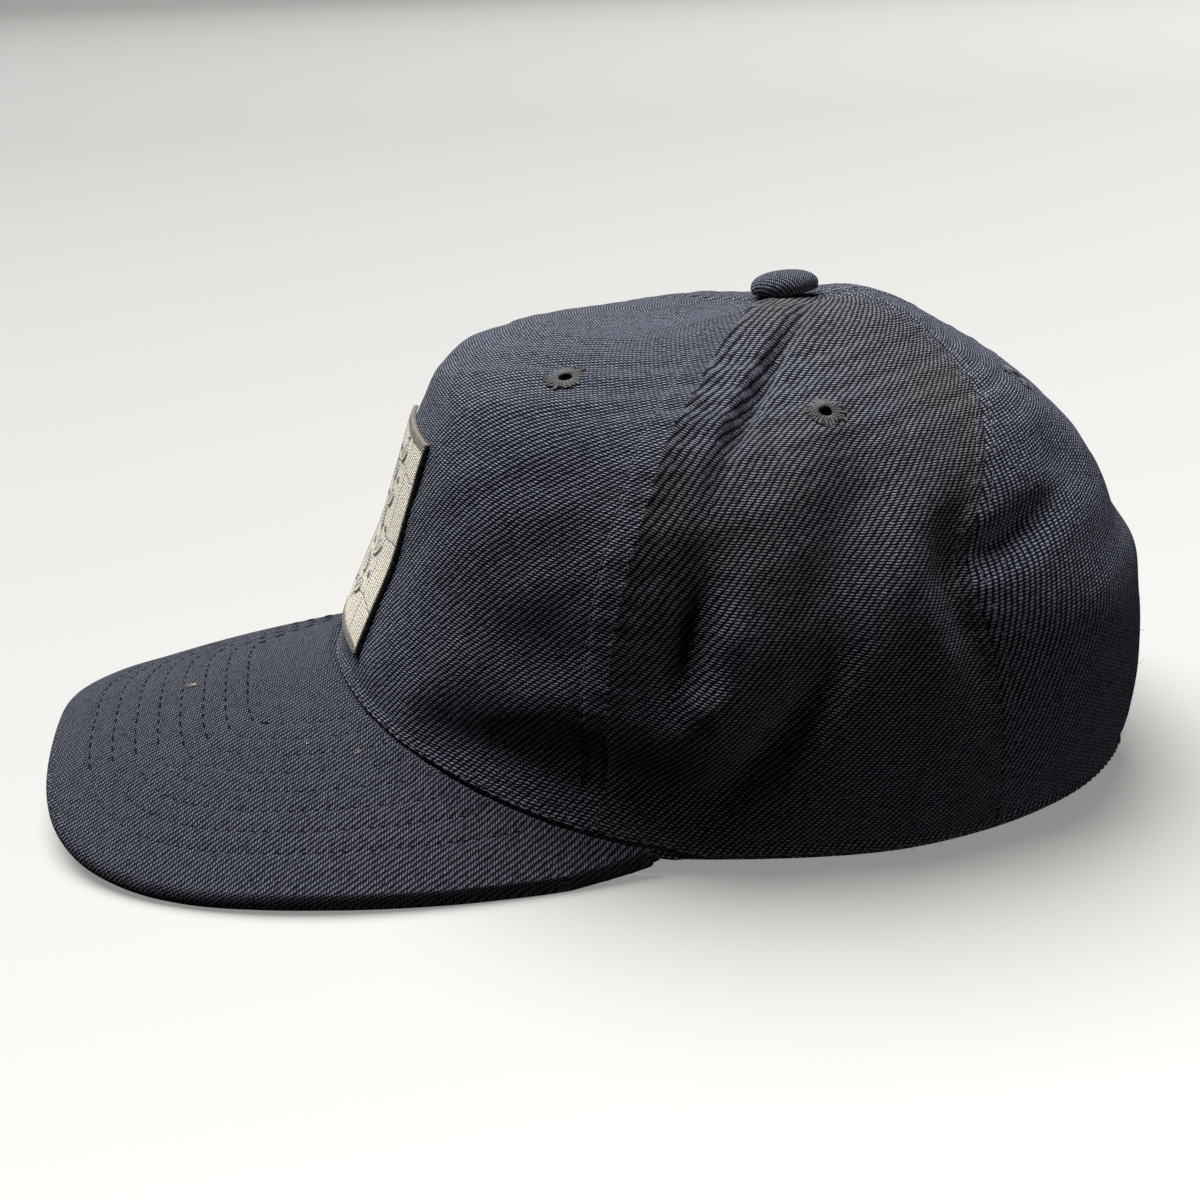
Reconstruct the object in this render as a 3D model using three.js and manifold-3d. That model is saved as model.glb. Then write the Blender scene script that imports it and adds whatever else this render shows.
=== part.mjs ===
// A snapback cap in five cloth panels with a stiff curved peak, lying on a surface on its rim.
// Millimetres, +Z up, the peak points along -Y and the wearer's left is +X.
import * as THREE from 'three';
import { mergeVertices } from 'three/addons/utils/BufferGeometryUtils.js';
import Module from 'manifold-3d';

const wasm = await Module();
wasm.setup();

// Driving dimensions
const CLOTH = 2.0;              // wall of every crown panel
const SEAM_GAP = 0.3;           // clear space between neighbouring pieces
const BOXINESS = 0.028;         // how far the plan outline is squarer than an ellipse
const APEX_ROW = 0.975;         // the panels stop here, under the button
const RIM_FALL = 36;            // degrees behind the peak over which the rim comes down
const RIM_LIFT_ENDS = 0.8;      // the rim's lift dies out at this t
const APEX_FADE = 0.07;         // dents die out over this much t below the button
const SLOPE_STEP = 0.002;       // step of t over which a face's slope is taken
const DEGREES_PER_T = 180;      // step of azimuth that goes with a step of t
const CENTRE_Y = 35.6;          // brings the middle of the whole cap to the origin

const PEAK = {
  thick: 3.8, tipY: -171.0, jointZ: 27.93, jointY: -97, slope: 0.161, sag: 3.1, sagReach: 70,
  archFront: 21.0, archBack: 31.0, archHalf: 80, archPower: 1.92, archFrontY: -130, archBackY: -22,
  endAngle: 72.5, squareness: 3.4, overhang: 1.5, flare: 0.047, nose: 1.6, cutBack: 0.965,
  clearFront: 0.6, clearSide: 1.1,
};
const BUTTON = {
  radius: 8.2, height: 6.2, tilt: 10, seat: -0.25,
  outline: [[0, 0], [0.86, 0], [1, 0.2], [0.98, 0.45], [0.86, 0.7], [0.62, 0.9], [0.32, 0.98], [0, 1]],
};
const EYELET = {
  outer: 4.5, inner: 1.7, height: 1.3, seat: 0.45, hole: 1.9, cut: 6,
  section: [[1, 0], [0.7, 0.8], [0, 1], [-0.7, 0.8], [-1, 0]],
};
const PATCH = { halfWidth: 18.5, lowT: 0.11, highT: 0.605, thick: 1.6 };
const BAND = { thick: 1.2, endAngle: 144, seat: 0.95, rows: [0.012, 0.07, 0.14, 0.21, 0.245] };
const ARCH = { halfAngle: 28, topT: 0.41, squareness: 2.7 };
const STRAP = {
  thick: 1.4, lowZ: 4, highZ: 23, rootAngle: 148, pitchAngle: 5.4, count: 6, fastened: 4,
  margin: 1.0, holeRadius: 2.6, studRadius: 2.2, studHeight: 2.6, wallRise: 98,
  cut: 3, studRoot: 0.7,
};

// Facets: how many columns, rows or sides each curved piece is built from
const FACETS = {
  frontColumns: 26, sideColumns: 14, backColumns: 11, bandColumns: 58, strapColumns: 14,
  peakColumns: 32, peakRows: 6, patchColumns: 12, patchRows: 9,
  eyeletHole: 10, eyelet: 16, button: 24, stud: 12,
};

// Crown profiles from the rim (t 0) to the button (t 1): the front centre line, the side and the
// back centre line. Heights are measured from the rim.
const PROFILE = [
  { t: 0.00, frontY: -101.1, frontZ: 0.0, sideX: 81.1, sideZ: 0.0, backY: 99.0, backZ: 0.0 },
  { t: 0.12, frontY: -97.3, frontZ: 15.0, sideX: 83.0, sideZ: 13.5, backY: 101.3, backZ: 11.7 },
  { t: 0.25, frontY: -92.6, frontZ: 28.7, sideX: 84.0, sideZ: 29.2, backY: 101.8, backZ: 25.6 },
  { t: 0.38, frontY: -86.9, frontZ: 44.2, sideX: 83.2, sideZ: 46.0, backY: 99.7, backZ: 41.4 },
  { t: 0.50, frontY: -81.7, frontZ: 62.1, sideX: 79.6, sideZ: 62.7, backY: 93.3, backZ: 57.9 },
  { t: 0.62, frontY: -76.1, frontZ: 80.3, sideX: 72.6, sideZ: 77.9, backY: 85.3, backZ: 74.7 },
  { t: 0.74, frontY: -66.6, frontZ: 97.2, sideX: 60.5, sideZ: 91.6, backY: 70.6, backZ: 89.6 },
  { t: 0.84, frontY: -46.8, frontZ: 105.3, sideX: 44.1, sideZ: 100.5, backY: 53.2, backZ: 101.0 },
  { t: 0.93, frontY: -18.4, frontZ: 106.3, sideX: 22.1, sideZ: 107.2, backY: 34.0, backZ: 110.4 },
  { t: 1.00, frontY: 12.9, frontZ: 109.3, sideX: 0.0, sideZ: 109.3, backY: 12.9, backZ: 109.3 },
];

// Azimuth of the two seams on each side, in degrees from the front centre line.
const SEAMS = [
  { t: 0.00, front: 62.0, back: 116.0 },
  { t: 0.20, front: 60.5, back: 113.0 },
  { t: 0.38, front: 58.5, back: 110.5 },
  { t: 0.50, front: 59.5, back: 109.5 },
  { t: 0.60, front: 61.5, back: 113.5 },
  { t: 0.70, front: 64.5, back: 123.0 },
  { t: 0.80, front: 67.0, back: 137.0 },
  { t: 0.90, front: 67.5, back: 150.0 },
  { t: 1.00, front: 68.0, back: 152.0 },
];

// Dents (negative) and swells (positive) in millimetres. Each lies on a line, which is an azimuth
// or a seam, shifted backwards by some millimetres; lean is the degrees it walks for each step of t.
const DENTS = [
  { name: 'hollow over the joint', line: 61, shift: 0, lean: 0, t: 0.15, width: 25, tall: 0.07, depth: -6.0 },
  { name: 'front panel hollow', line: 50, shift: 0, lean: 0, t: 0.365, width: 15, tall: 0.06, depth: -1.4 },
  { name: 'front panel corner', line: 30, shift: 0, lean: 0, t: 0.6, width: 24, tall: 0.22, depth: 1.6 },
  { name: 'ridge of the seam', line: 'front', shift: -1, lean: 0, t: 0.55, width: 7, tall: 0.26, depth: 1.5 },
  { name: 'upper fold by the seam', line: 'front', shift: 16, lean: 0, t: 0.78, width: 6.5, tall: 0.13, depth: -3.8 },
  { name: 'lower fold by the seam', line: 'front', shift: 14, lean: 0, t: 0.42, width: 5.5, tall: 0.11, depth: -4.2 },
  { name: 'side panel swell', line: 76, shift: 0, lean: 50, t: 0.38, width: 7.5, tall: 0.15, depth: 2.2 },
  { name: 'slanting fold', line: 82.8, shift: 0, lean: 41, t: 0.28, width: 7, tall: 0.16, depth: -4.2 },
  { name: 'ridge behind that fold', line: 93, shift: 0, lean: 38, t: 0.42, width: 8, tall: 0.16, depth: 1.6 },
  { name: 'side panel hollow', line: 93, shift: 0, lean: 60, t: 0.61, width: 9, tall: 0.13, depth: -2.4 },
  { name: 'crease', line: 'back', shift: -4.5, lean: 0, t: 0.44, width: 5.5, tall: 0.11, depth: -2.8 },
  { name: 'dimple before the seam', line: 'back', shift: -6, lean: 0, t: 0.56, width: 5.5, tall: 0.055, depth: -2.8 },
  { name: 'dimple behind the seam', line: 119, shift: 0, lean: 190, t: 0.56, width: 11, tall: 0.05, depth: -3.6 },
  { name: 'back panel bulge', line: 128, shift: 0, lean: 0, t: 0.43, width: 20, tall: 0.08, depth: 2.4 },
  { name: 'back panel hollow', line: 142, shift: 0, lean: 0, t: 0.64, width: 11, tall: 0.05, depth: -2.4 },
  { name: 'swell over the arch', line: 160, shift: 0, lean: 0, t: 0.445, width: 22, tall: 0.05, depth: 2.0 },
];
const RIGHT_SIDE = 0.7;         // dents of the wearer's right side against those of the left

// Smooth curve through one column of a table: cubic pieces whose slope comes from the neighbours.
function through(rows, key) {
  const t = rows.map((row) => row.t);
  const v = rows.map((row) => row[key]);
  const last = t.length - 1;
  const slope = (i) => {
    const a = Math.max(i - 1, 0);
    const b = Math.min(i + 1, last);
    return (v[b] - v[a]) / (t[b] - t[a]);
  };
  return (x) => {
    let i = 0;
    while (i < last - 1 && x > t[i + 1]) i += 1;
    const h = t[i + 1] - t[i];
    const s = (x - t[i]) / h;
    const s2 = s * s;
    const s3 = s2 * s;
    return v[i] * (2 * s3 - 3 * s2 + 1) + slope(i) * h * (s3 - 2 * s2 + s)
      + v[i + 1] * (3 * s2 - 2 * s3) + slope(i + 1) * h * (s3 - s2);
  };
}

const profile = {};
for (const key of ['frontY', 'frontZ', 'sideX', 'sideZ', 'backY', 'backZ']) {
  profile[key] = through(PROFILE, key);
}
const frontSeam = through(SEAMS, 'front');
const backSeam = through(SEAMS, 'back');

const radians = (degrees) => degrees * Math.PI / 180;
const clamp01 = (x) => Math.min(Math.max(x, 0), 1);
const smooth = (x) => clamp01(x) ** 2 * (3 - 2 * clamp01(x));
const mix = (a, b, s) => a + (b - a) * s;

// Height of the peak's upper face: it slopes down to the tip, sags a little and is arched across.
function peakTop(x, y) {
  const back = smooth((y - PEAK.archFrontY) / (PEAK.archBackY - PEAK.archFrontY));
  const drop = mix(PEAK.archFront, PEAK.archBack, back) * (Math.abs(x) / PEAK.archHalf) ** PEAK.archPower;
  const ahead = y - PEAK.jointY;
  return PEAK.jointZ + PEAK.slope * ahead - PEAK.sag * (ahead / PEAK.sagReach) ** 2 - drop;
}

// Plan of the crown at one level: an ellipse made slightly squarer at its corners.
function plan(phi, t) {
  const a = radians(phi);
  const swell = 1 + BOXINESS * Math.sin(2 * a) ** 2;
  const middle = (profile.frontY(t) + profile.backY(t)) / 2;
  const reach = (profile.backY(t) - profile.frontY(t)) / 2;
  return [profile.sideX(t) * Math.sin(a) * swell, middle - reach * Math.cos(a) * swell];
}

// Degrees from the front centre line, 0 to 180, on either side.
const fromFront = (phi) => Math.abs(((phi + 180) % 360 + 360) % 360 - 180);

// The rim follows the peak's underside in front, then comes down to the surface at the sides.
function rimLift(phi) {
  const side = fromFront(phi);
  const held = Math.min(side, PEAK.endAngle);
  return (peakTop(...plan(held, 0)) - PEAK.thick) * smooth(1 - (side - held) / RIM_FALL);
}

function crownBase(phi, t) {
  const [x, y] = plan(phi, t);
  const c = Math.cos(radians(phi));
  const end = c > 0 ? profile.frontZ(t) : profile.backZ(t);
  const z = mix(profile.sideZ(t), end, c * c) + rimLift(phi) * clamp01(1 - t / RIM_LIFT_ENDS);
  return new THREE.Vector3(x, y, z);
}

// Sum of the dents at one place, weaker on the wearer's right and fading out under the button.
function relief(phi, t) {
  const side = fromFront(phi);
  const girth = (2 * profile.sideX(t) + profile.backY(t) - profile.frontY(t)) / 4;
  let sum = 0;
  for (const dent of DENTS) {
    const line = { front: frontSeam(t), back: backSeam(t) }[dent.line] ?? dent.line;
    const turn = side - line - dent.lean * (t - dent.t);
    const across = (radians(turn) * girth - dent.shift) / dent.width;
    const along = (t - dent.t) / dent.tall;
    sum += dent.depth * Math.exp(-across * across - along * along);
  }
  const share = mix(RIGHT_SIDE, 1, (1 + Math.sin(radians(phi))) / 2);
  return sum * share * smooth((APEX_ROW - t) / APEX_FADE);
}

// Outward direction of a face: a small step round it, crossed with a small step up it.
function normalOf(surface, phi, t) {
  const turn = DEGREES_PER_T * SLOPE_STEP;
  const across = surface(phi + turn, t).sub(surface(phi - turn, t));
  const above = Math.min(t + SLOPE_STEP, 1 - SLOPE_STEP / 2);
  const up = surface(phi, above).sub(surface(phi, Math.max(t - SLOPE_STEP, 0)));
  return across.cross(up).normalize();
}

const crownOuter = (phi, t) =>
  crownBase(phi, t).addScaledVector(normalOf(crownBase, phi, t), relief(phi, t));

// A point at some depth inside the crown's outer face, level with the rim at the rim itself.
function crownInside(phi, t, depth) {
  const outer = crownOuter(phi, t);
  const point = outer.clone().addScaledVector(normalOf(crownOuter, phi, t), -depth);
  if (t === 0) point.z = outer.z;
  return point;
}

// Closed solid between two faces over the same grid of u and v, both from 0 to 1. Where du x dv
// points out of the outer face, all faces point out. A nose rounds the edge at v = 1.
function slab(columns, rows, outer, inner, nose) {
  const points = [];
  const index = [];
  const width = columns + 1;
  for (const face of [outer, inner]) {
    for (let j = 0; j <= rows; j += 1) {
      for (let i = 0; i <= columns; i += 1) points.push(face(i / columns, j / rows, i, j));
    }
  }
  const front = (i, j) => j * width + i;
  const rear = (i, j) => (rows + 1) * width + j * width + i;
  const quad = (a, b, c, d) => index.push(a, b, c, a, c, d);
  for (let j = 0; j < rows; j += 1) {
    for (let i = 0; i < columns; i += 1) {
      quad(front(i, j), front(i + 1, j), front(i + 1, j + 1), front(i, j + 1));
      quad(rear(i, j), rear(i, j + 1), rear(i + 1, j + 1), rear(i + 1, j));
    }
  }
  for (let i = 0; i < columns; i += 1) {
    quad(rear(i, 0), rear(i + 1, 0), front(i + 1, 0), front(i, 0));
    if (!nose) quad(front(i, rows), front(i + 1, rows), rear(i + 1, rows), rear(i, rows));
  }
  for (let j = 0; j < rows; j += 1) {
    quad(rear(0, j), front(0, j), front(0, j + 1), rear(0, j + 1));
    quad(front(columns, j), rear(columns, j), rear(columns, j + 1), front(columns, j + 1));
  }
  if (nose) {
    const first = points.length;
    for (let i = 0; i <= columns; i += 1) points.push(nose(i / columns));
    for (let i = 0; i < columns; i += 1) {
      quad(front(i, rows), front(i + 1, rows), first + i + 1, first + i);
      quad(first + i, first + i + 1, rear(i + 1, rows), rear(i, rows));
    }
    index.push(front(0, rows), first, rear(0, rows));
    index.push(rear(columns, rows), first + columns, front(columns, rows));
  }
  const geometry = new THREE.BufferGeometry();
  geometry.setAttribute('position', new THREE.Float32BufferAttribute(points.flatMap((p) => p.toArray()), 3));
  geometry.setIndex(index);
  return geometry;
}

// Solids for cutting and joining are made from plain geometry, and turned back into it.
function toSolid(geometry) {
  const bare = geometry.clone();
  bare.deleteAttribute('normal');
  bare.deleteAttribute('uv');
  const merged = mergeVertices(bare, 1e-4);
  return new wasm.Manifold(new wasm.Mesh({
    numProp: 3,
    vertProperties: Float32Array.from(merged.attributes.position.array),
    triVerts: Uint32Array.from(merged.index.array),
  }));
}

function toGeometry(solid) {
  const mesh = solid.getMesh();
  const geometry = new THREE.BufferGeometry();
  geometry.setAttribute('position', new THREE.BufferAttribute(Float32Array.from(mesh.vertProperties), 3));
  geometry.setIndex(new THREE.BufferAttribute(Uint32Array.from(mesh.triVerts), 1));
  return geometry;
}

const turnTo = (normal) => new THREE.Quaternion().setFromUnitVectors(new THREE.Vector3(0, 1, 0), normal);

// A round pin whose axis runs along a normal, from some way below a point to some way above it.
function pin(point, normal, { radius, below, above, sides }) {
  const geometry = new THREE.CylinderGeometry(radius, radius, below + above, sides);
  geometry.translate(0, (above - below) / 2, 0);
  geometry.applyQuaternion(turnTo(normal));
  geometry.translate(point.x, point.y, point.z);
  return geometry;
}

const cloth = new THREE.MeshStandardMaterial({ color: 0x1a1f2e, roughness: 0.95, metalness: 0 });
const thread = new THREE.MeshStandardMaterial({ color: 0x2b2c28, roughness: 0.9, metalness: 0 });
const bandCloth = new THREE.MeshStandardMaterial({ color: 0x161a24, roughness: 0.95, metalness: 0 });
const embroidery = new THREE.MeshStandardMaterial({ color: 0xcfc3a6, roughness: 0.7, metalness: 0 });
const plastic = new THREE.MeshStandardMaterial({ color: 0x14171f, roughness: 0.45, metalness: 0 });

const cap = new THREE.Group();

function add(name, geometry, material) {
  const mesh = new THREE.Mesh(geometry, material);
  mesh.name = name;
  mesh.position.y = CENTRE_Y;
  cap.add(mesh);
}

const SIDES = [{ word: 'left', sign: 1 }, { word: 'right', sign: -1 }];

// Six eyelets, two in each of the front, side and back of the crown.
const EYELETS = [
  { place: 'front', phi: 37.7, t: 0.797 },
  { place: 'side', phi: 95.4, t: 0.785 },
  { place: 'back', phi: 159, t: 0.757 },
];

// Half of the seam gap as an angle, by the length of one degree at that place.
function gapAngle(phi, t) {
  const degree = crownBase(phi + 0.5, t).distanceTo(crownBase(phi - 0.5, t));
  return SEAM_GAP / 2 / degree;
}

// Edge of the arch over the strap, counted from the front; the back centre line above it.
function archEdge(t) {
  if (t >= ARCH.topT) return 180;
  return 180 - ARCH.halfAngle * (1 - (t / ARCH.topT) ** ARCH.squareness) ** (1 / ARCH.squareness);
}

// A panel between two edges, given as azimuths for each t, with its eyelet holes cut through.
function panel(columns, levels, startEdge, endEdge, holes) {
  const place = (u, j) => {
    const t = levels[j];
    const start = startEdge(t) + gapAngle(startEdge(t), t);
    const end = endEdge(t) - gapAngle(endEdge(t), t);
    return [mix(start, end, u), t];
  };
  const outer = (u, v, i, j) => crownOuter(...place(u, j));
  const inner = (u, v, i, j) => crownInside(...place(u, j), CLOTH);
  let solid = toSolid(slab(columns, levels.length - 1, outer, inner));
  const drill = { radius: EYELET.hole, below: EYELET.cut, above: EYELET.cut, sides: FACETS.eyeletHole };
  for (const { phi, t } of holes) {
    const hole = pin(crownOuter(phi, t), normalOf(crownOuter, phi, t), drill);
    solid = solid.subtract(toSolid(hole));
  }
  return toGeometry(solid);
}

// Heights of the rows of facets in every panel, closer together at the rim, the arch and the top.
const LEVELS = [0, 0.07, 0.14, 0.21, 0.28, 0.34, 0.38, 0.4, ARCH.topT, 0.46, 0.53, 0.6,
  0.67, 0.74, 0.81, 0.87, 0.92, 0.95, APEX_ROW];

// The five panels, each from its front edge to its back edge.
function buildCrown() {
  const hole = (sign, place) => {
    const row = EYELETS.find((eyelet) => eyelet.place === place);
    return { phi: sign * row.phi, t: row.t };
  };
  const { frontColumns, sideColumns, backColumns } = FACETS;
  const mirrored = (edge) => (t) => -edge(t);
  const frontHoles = [hole(1, 'front'), hole(-1, 'front')];
  const front = panel(frontColumns, LEVELS, mirrored(frontSeam), frontSeam, frontHoles);
  const sideLeft = panel(sideColumns, LEVELS, frontSeam, backSeam, [hole(1, 'side')]);
  const sideRight = panel(sideColumns, LEVELS, mirrored(backSeam), mirrored(frontSeam), [hole(-1, 'side')]);
  const backLeft = panel(backColumns, LEVELS, backSeam, archEdge, [hole(1, 'back')]);
  const backRight = panel(backColumns, LEVELS, mirrored(archEdge), mirrored(backSeam), [hole(-1, 'back')]);
  add('crown_front', front, cloth);
  add('crown_side_left', sideLeft, cloth);
  add('crown_side_right', sideRight, cloth);
  add('crown_back_left', backLeft, cloth);
  add('crown_back_right', backRight, cloth);
}

// An embroidered eyelet: a low ring of thread round the hole.
function buildEyelets() {
  const half = (EYELET.outer - EYELET.inner) / 2;
  const middle = (EYELET.outer + EYELET.inner) / 2;
  const { section, height } = EYELET;
  const outline = section.map(([r, h]) => new THREE.Vector2(middle + r * half, h * height));
  outline.push(outline[0].clone());
  for (const { word, sign } of SIDES) {
    for (const { place, phi, t } of EYELETS) {
      const point = crownOuter(sign * phi, t);
      const normal = normalOf(crownOuter, sign * phi, t);
      const ring = new THREE.LatheGeometry(outline, FACETS.eyelet);
      ring.translate(0, EYELET.seat, 0);
      ring.applyQuaternion(turnTo(normal));
      ring.translate(point.x, point.y, point.z);
      add(`eyelet_${place}_${word}`, toGeometry(toSolid(ring)), thread);
    }
  }
}

// The covered button: a domed disc that leans forward with the crown under it.
function buildButton() {
  const { radius, height, outline } = BUTTON;
  const points = outline.map(([r, h]) => new THREE.Vector2(r * radius, h * height));
  const dome = new THREE.LatheGeometry(points, FACETS.button);
  dome.rotateX(Math.PI / 2 + radians(BUTTON.tilt));
  const top = crownBase(0, 1);
  dome.translate(top.x, top.y, top.z + BUTTON.seat);
  add('top_button', toGeometry(toSolid(dome)), cloth);
}

// Outline of the peak: from one end of its joint round the tip to the other, u from -1 to 1.
function peakEdge(u) {
  const [endX, endY] = plan(PEAK.endAngle, 0);
  const a = u * Math.PI / 2;
  const power = 2 / PEAK.squareness;
  const across = Math.sign(Math.sin(a)) * Math.abs(Math.sin(a)) ** power;
  const ahead = Math.abs(Math.cos(a)) ** power;
  const flare = 1 + PEAK.flare * Math.sin(Math.PI * ahead);
  return [(endX + PEAK.overhang) * across * flare, mix(endY, PEAK.tipY, ahead)];
}

// The joint runs just outside the crown's rim.
function peakJoint(u) {
  const phi = u * PEAK.endAngle;
  const outward = normalOf(crownBase, phi, 0);
  const clear = PEAK.clearFront + PEAK.clearSide * Math.sin(radians(phi)) ** 2;
  const [x, y] = plan(phi, 0);
  const flat = Math.hypot(outward.x, outward.y);
  return [x + outward.x / flat * clear, y + outward.y / flat * clear];
}

// The peak is a curved board between its joint and its outline, with a rounded outer edge.
function buildPeak() {
  const along = (u, v, inset) => {
    const s = mix(-PEAK.cutBack, PEAK.cutBack, u);
    const [x0, y0] = peakJoint(s);
    const [x1, y1] = peakEdge(s);
    const length = Math.hypot(x1 - x0, y1 - y0);
    const reach = v * (1 - inset / length);
    return [mix(x0, x1, reach), mix(y0, y1, reach)];
  };
  const face = (drop, inset) => (u, v) => {
    const [x, y] = along(u, v, inset);
    return new THREE.Vector3(x, y, peakTop(x, y) - drop);
  };
  const under = face(PEAK.thick, PEAK.nose);
  const top = face(0, PEAK.nose);
  const nose = (u) => face(PEAK.thick / 2, 0)(u, 1);
  add('peak', slab(FACETS.peakColumns, FACETS.peakRows, under, top, nose), cloth);
}

// The sweatband lies against the inside of the panels, open at the arch.
function buildBand() {
  const at = (depth) => (u, v, i, j) =>
    crownInside(mix(-BAND.endAngle, BAND.endAngle, u), BAND.rows[j], depth);
  const near = CLOTH + BAND.seat;
  const rows = BAND.rows.length - 1;
  add('sweatband', slab(FACETS.bandColumns, rows, at(near), at(near + BAND.thick)), bandCloth);
}

// The front patch is a thick embroidered plate that follows the front panel.
function buildPatch() {
  const at = (height) => (u, v) => {
    const t = mix(PATCH.lowT, PATCH.highT, v);
    const reach = Math.asin(PATCH.halfWidth / profile.sideX(t)) * 180 / Math.PI;
    return crownInside(mix(-reach, reach, u), t, -height);
  };
  const { patchColumns, patchRows } = FACETS;
  add('front_patch', slab(patchColumns, patchRows, at(SEAM_GAP + PATCH.thick), at(SEAM_GAP)), embroidery);
}

// Azimuth and height to a point of the strap's path, at some depth inside the crown's face.
function strapPoint(phi, z, depth) {
  const t = z / STRAP.wallRise;
  const [x, y] = plan(phi, t);
  const ahead = plan(phi + 0.5, t);
  const behind = plan(phi - 0.5, t);
  const normal = new THREE.Vector3(ahead[1] - behind[1], behind[0] - ahead[0], 0).normalize();
  return { point: new THREE.Vector3(x, y, z).addScaledVector(normal, -depth), normal };
}

// Two plastic straps lap over each other across the arch: studs of the inner go through the outer.
function buildStraps() {
  const middleZ = (STRAP.lowZ + STRAP.highZ) / 2;
  const outerDepth = CLOTH + 2 * SEAM_GAP;
  const innerDepth = outerDepth + STRAP.thick + SEAM_GAP;
  const lap = STRAP.fastened / 2 * STRAP.pitchAngle + STRAP.margin;
  const belt = (from, to, depth) => {
    const at = (deep) => (u, v) => strapPoint(mix(from, to, u), mix(STRAP.lowZ, STRAP.highZ, v), deep).point;
    return toSolid(slab(FACETS.strapColumns, 1, at(depth), at(depth + STRAP.thick)));
  };
  const drill = { radius: STRAP.holeRadius, below: STRAP.cut, above: STRAP.cut, sides: FACETS.stud };
  const peg = { radius: STRAP.studRadius, below: STRAP.studRoot, above: STRAP.studHeight, sides: FACETS.stud };
  let left = belt(STRAP.rootAngle, 180 + lap, outerDepth);
  let right = belt(180 - lap, 360 - STRAP.rootAngle, innerDepth);
  for (let k = 0; k < STRAP.count; k += 1) {
    const turn = ((STRAP.fastened - 1) / 2 - k) * STRAP.pitchAngle;
    const hole = strapPoint(180 + turn, middleZ, outerDepth);
    left = left.subtract(toSolid(pin(hole.point, hole.normal, drill)));
    const stud = strapPoint(180 - turn, middleZ, innerDepth);
    right = right.add(toSolid(pin(stud.point, stud.normal, peg)));
  }
  add('snap_strap_left', toGeometry(left), plastic);
  add('snap_strap_right', toGeometry(right), plastic);
}

buildCrown();
buildEyelets();
buildButton();
buildPeak();
buildBand();
buildPatch();
buildStraps();

export default cap;
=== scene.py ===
# %% [markdown]
# A snapback cap is a crown of sewn cloth panels, a stiff curved peak, and two plastic straps that
# snap together at the back. Its plain solids are packed already, and they load here as a fixed
# frame. This lesson dresses them: every finer piece is a surface worked out with numpy as a
# function of two numbers, and it lies where its solid lies. Sizes are in millimetres until the
# very last moment, when a mesh is made in Blender's metres.

import math

import bpy
import numpy as np
from mathutils import Matrix, Vector


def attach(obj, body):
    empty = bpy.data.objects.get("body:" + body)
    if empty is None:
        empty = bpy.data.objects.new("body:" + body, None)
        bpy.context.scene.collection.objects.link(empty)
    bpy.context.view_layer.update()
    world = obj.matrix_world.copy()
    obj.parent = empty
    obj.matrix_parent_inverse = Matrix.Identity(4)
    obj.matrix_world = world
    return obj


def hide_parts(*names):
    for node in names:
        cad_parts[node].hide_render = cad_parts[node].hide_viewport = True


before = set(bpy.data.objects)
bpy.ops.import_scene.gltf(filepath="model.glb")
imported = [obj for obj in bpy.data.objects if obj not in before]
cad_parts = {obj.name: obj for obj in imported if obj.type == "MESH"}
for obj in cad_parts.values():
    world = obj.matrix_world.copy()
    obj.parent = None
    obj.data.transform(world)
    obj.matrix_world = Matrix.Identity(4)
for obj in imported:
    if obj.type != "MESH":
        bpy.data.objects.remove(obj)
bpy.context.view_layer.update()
MM = 0.001

# %% [markdown]
# The camera stands at the wearer's left and a little above, as a person does who looks at a cap on
# a table. It could be aimed with a Track To constraint. Here its three axes are worked out from
# the place of the eye and of what it looks at, because that also gives it the slight roll of a
# camera held in the hand.

# %% Place the camera
EYE = Vector((412.8, -63.75, 194.6))
AIM = Vector((0.0, 1.5, 35.28))
ROLL = math.radians(-1.46)
LENS = 53.12
FILM = 36.0


def place_camera():
    """Back runs from the aim to the eye, right is level and square to it, up is square to both;
    then right and up turn about back by the roll."""
    back = (EYE - AIM).normalized()
    level = Vector((0, 0, 1)).cross(back).normalized()
    right = level * math.cos(ROLL) + back.cross(level) * math.sin(ROLL)
    camera = bpy.data.objects.new("camera", bpy.data.cameras.new("camera"))
    axes = Matrix((right, back.cross(right), back)).transposed()
    camera.matrix_world = Matrix.Translation(EYE * MM) @ axes.to_4x4()
    camera.data.lens = LENS
    camera.data.sensor_width = FILM
    camera.data.clip_start = 0.01
    bpy.context.scene.collection.objects.link(camera)
    bpy.context.scene.camera = camera


place_camera()
print("camera to cap:", round((EYE - AIM).length), "mm")

# %% [markdown]
# A cap's shape is free, so no ellipse or sphere gives it. What a maker has is a few profiles from
# rim to button. Each becomes a smooth curve through its table, and numpy works it out for a whole
# grid at once: t runs from 0 at the rim to 1 at the button.

# %% Smooth curves through tables
def table(columns, *rows):
    """Rows of values, each under the names of the columns."""
    return [dict(zip(columns.split(), row)) for row in rows]


def through(rows, column):
    """A cubic between each two rows of a table, which leaves a row at the slope of the line
    that joins its two neighbours. Gives back a function of t."""
    t = np.array([row["t"] for row in rows])
    value = np.array([row[column] for row in rows])
    before = np.maximum(np.arange(len(t)) - 1, 0)
    after = np.minimum(np.arange(len(t)) + 1, len(t) - 1)
    slope = (value[after] - value[before]) / (t[after] - t[before])

    def curve(x):
        i = np.searchsorted(t[1:-1], x)
        h = t[i + 1] - t[i]
        s = (x - t[i]) / h
        return (
            value[i] * (2 * s**3 - 3 * s**2 + 1)
            + slope[i] * h * (s**3 - 2 * s**2 + s)
            + value[i + 1] * (3 * s**2 - 2 * s**3)
            + slope[i + 1] * h * (s**3 - s**2)
        )

    return curve


def smooth(x):
    """0 below 0, 1 above 1, and an S between them: 3 x squared minus 2 x cubed."""
    held = np.clip(x, 0, 1)
    return held**2 * (3 - 2 * held)


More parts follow.
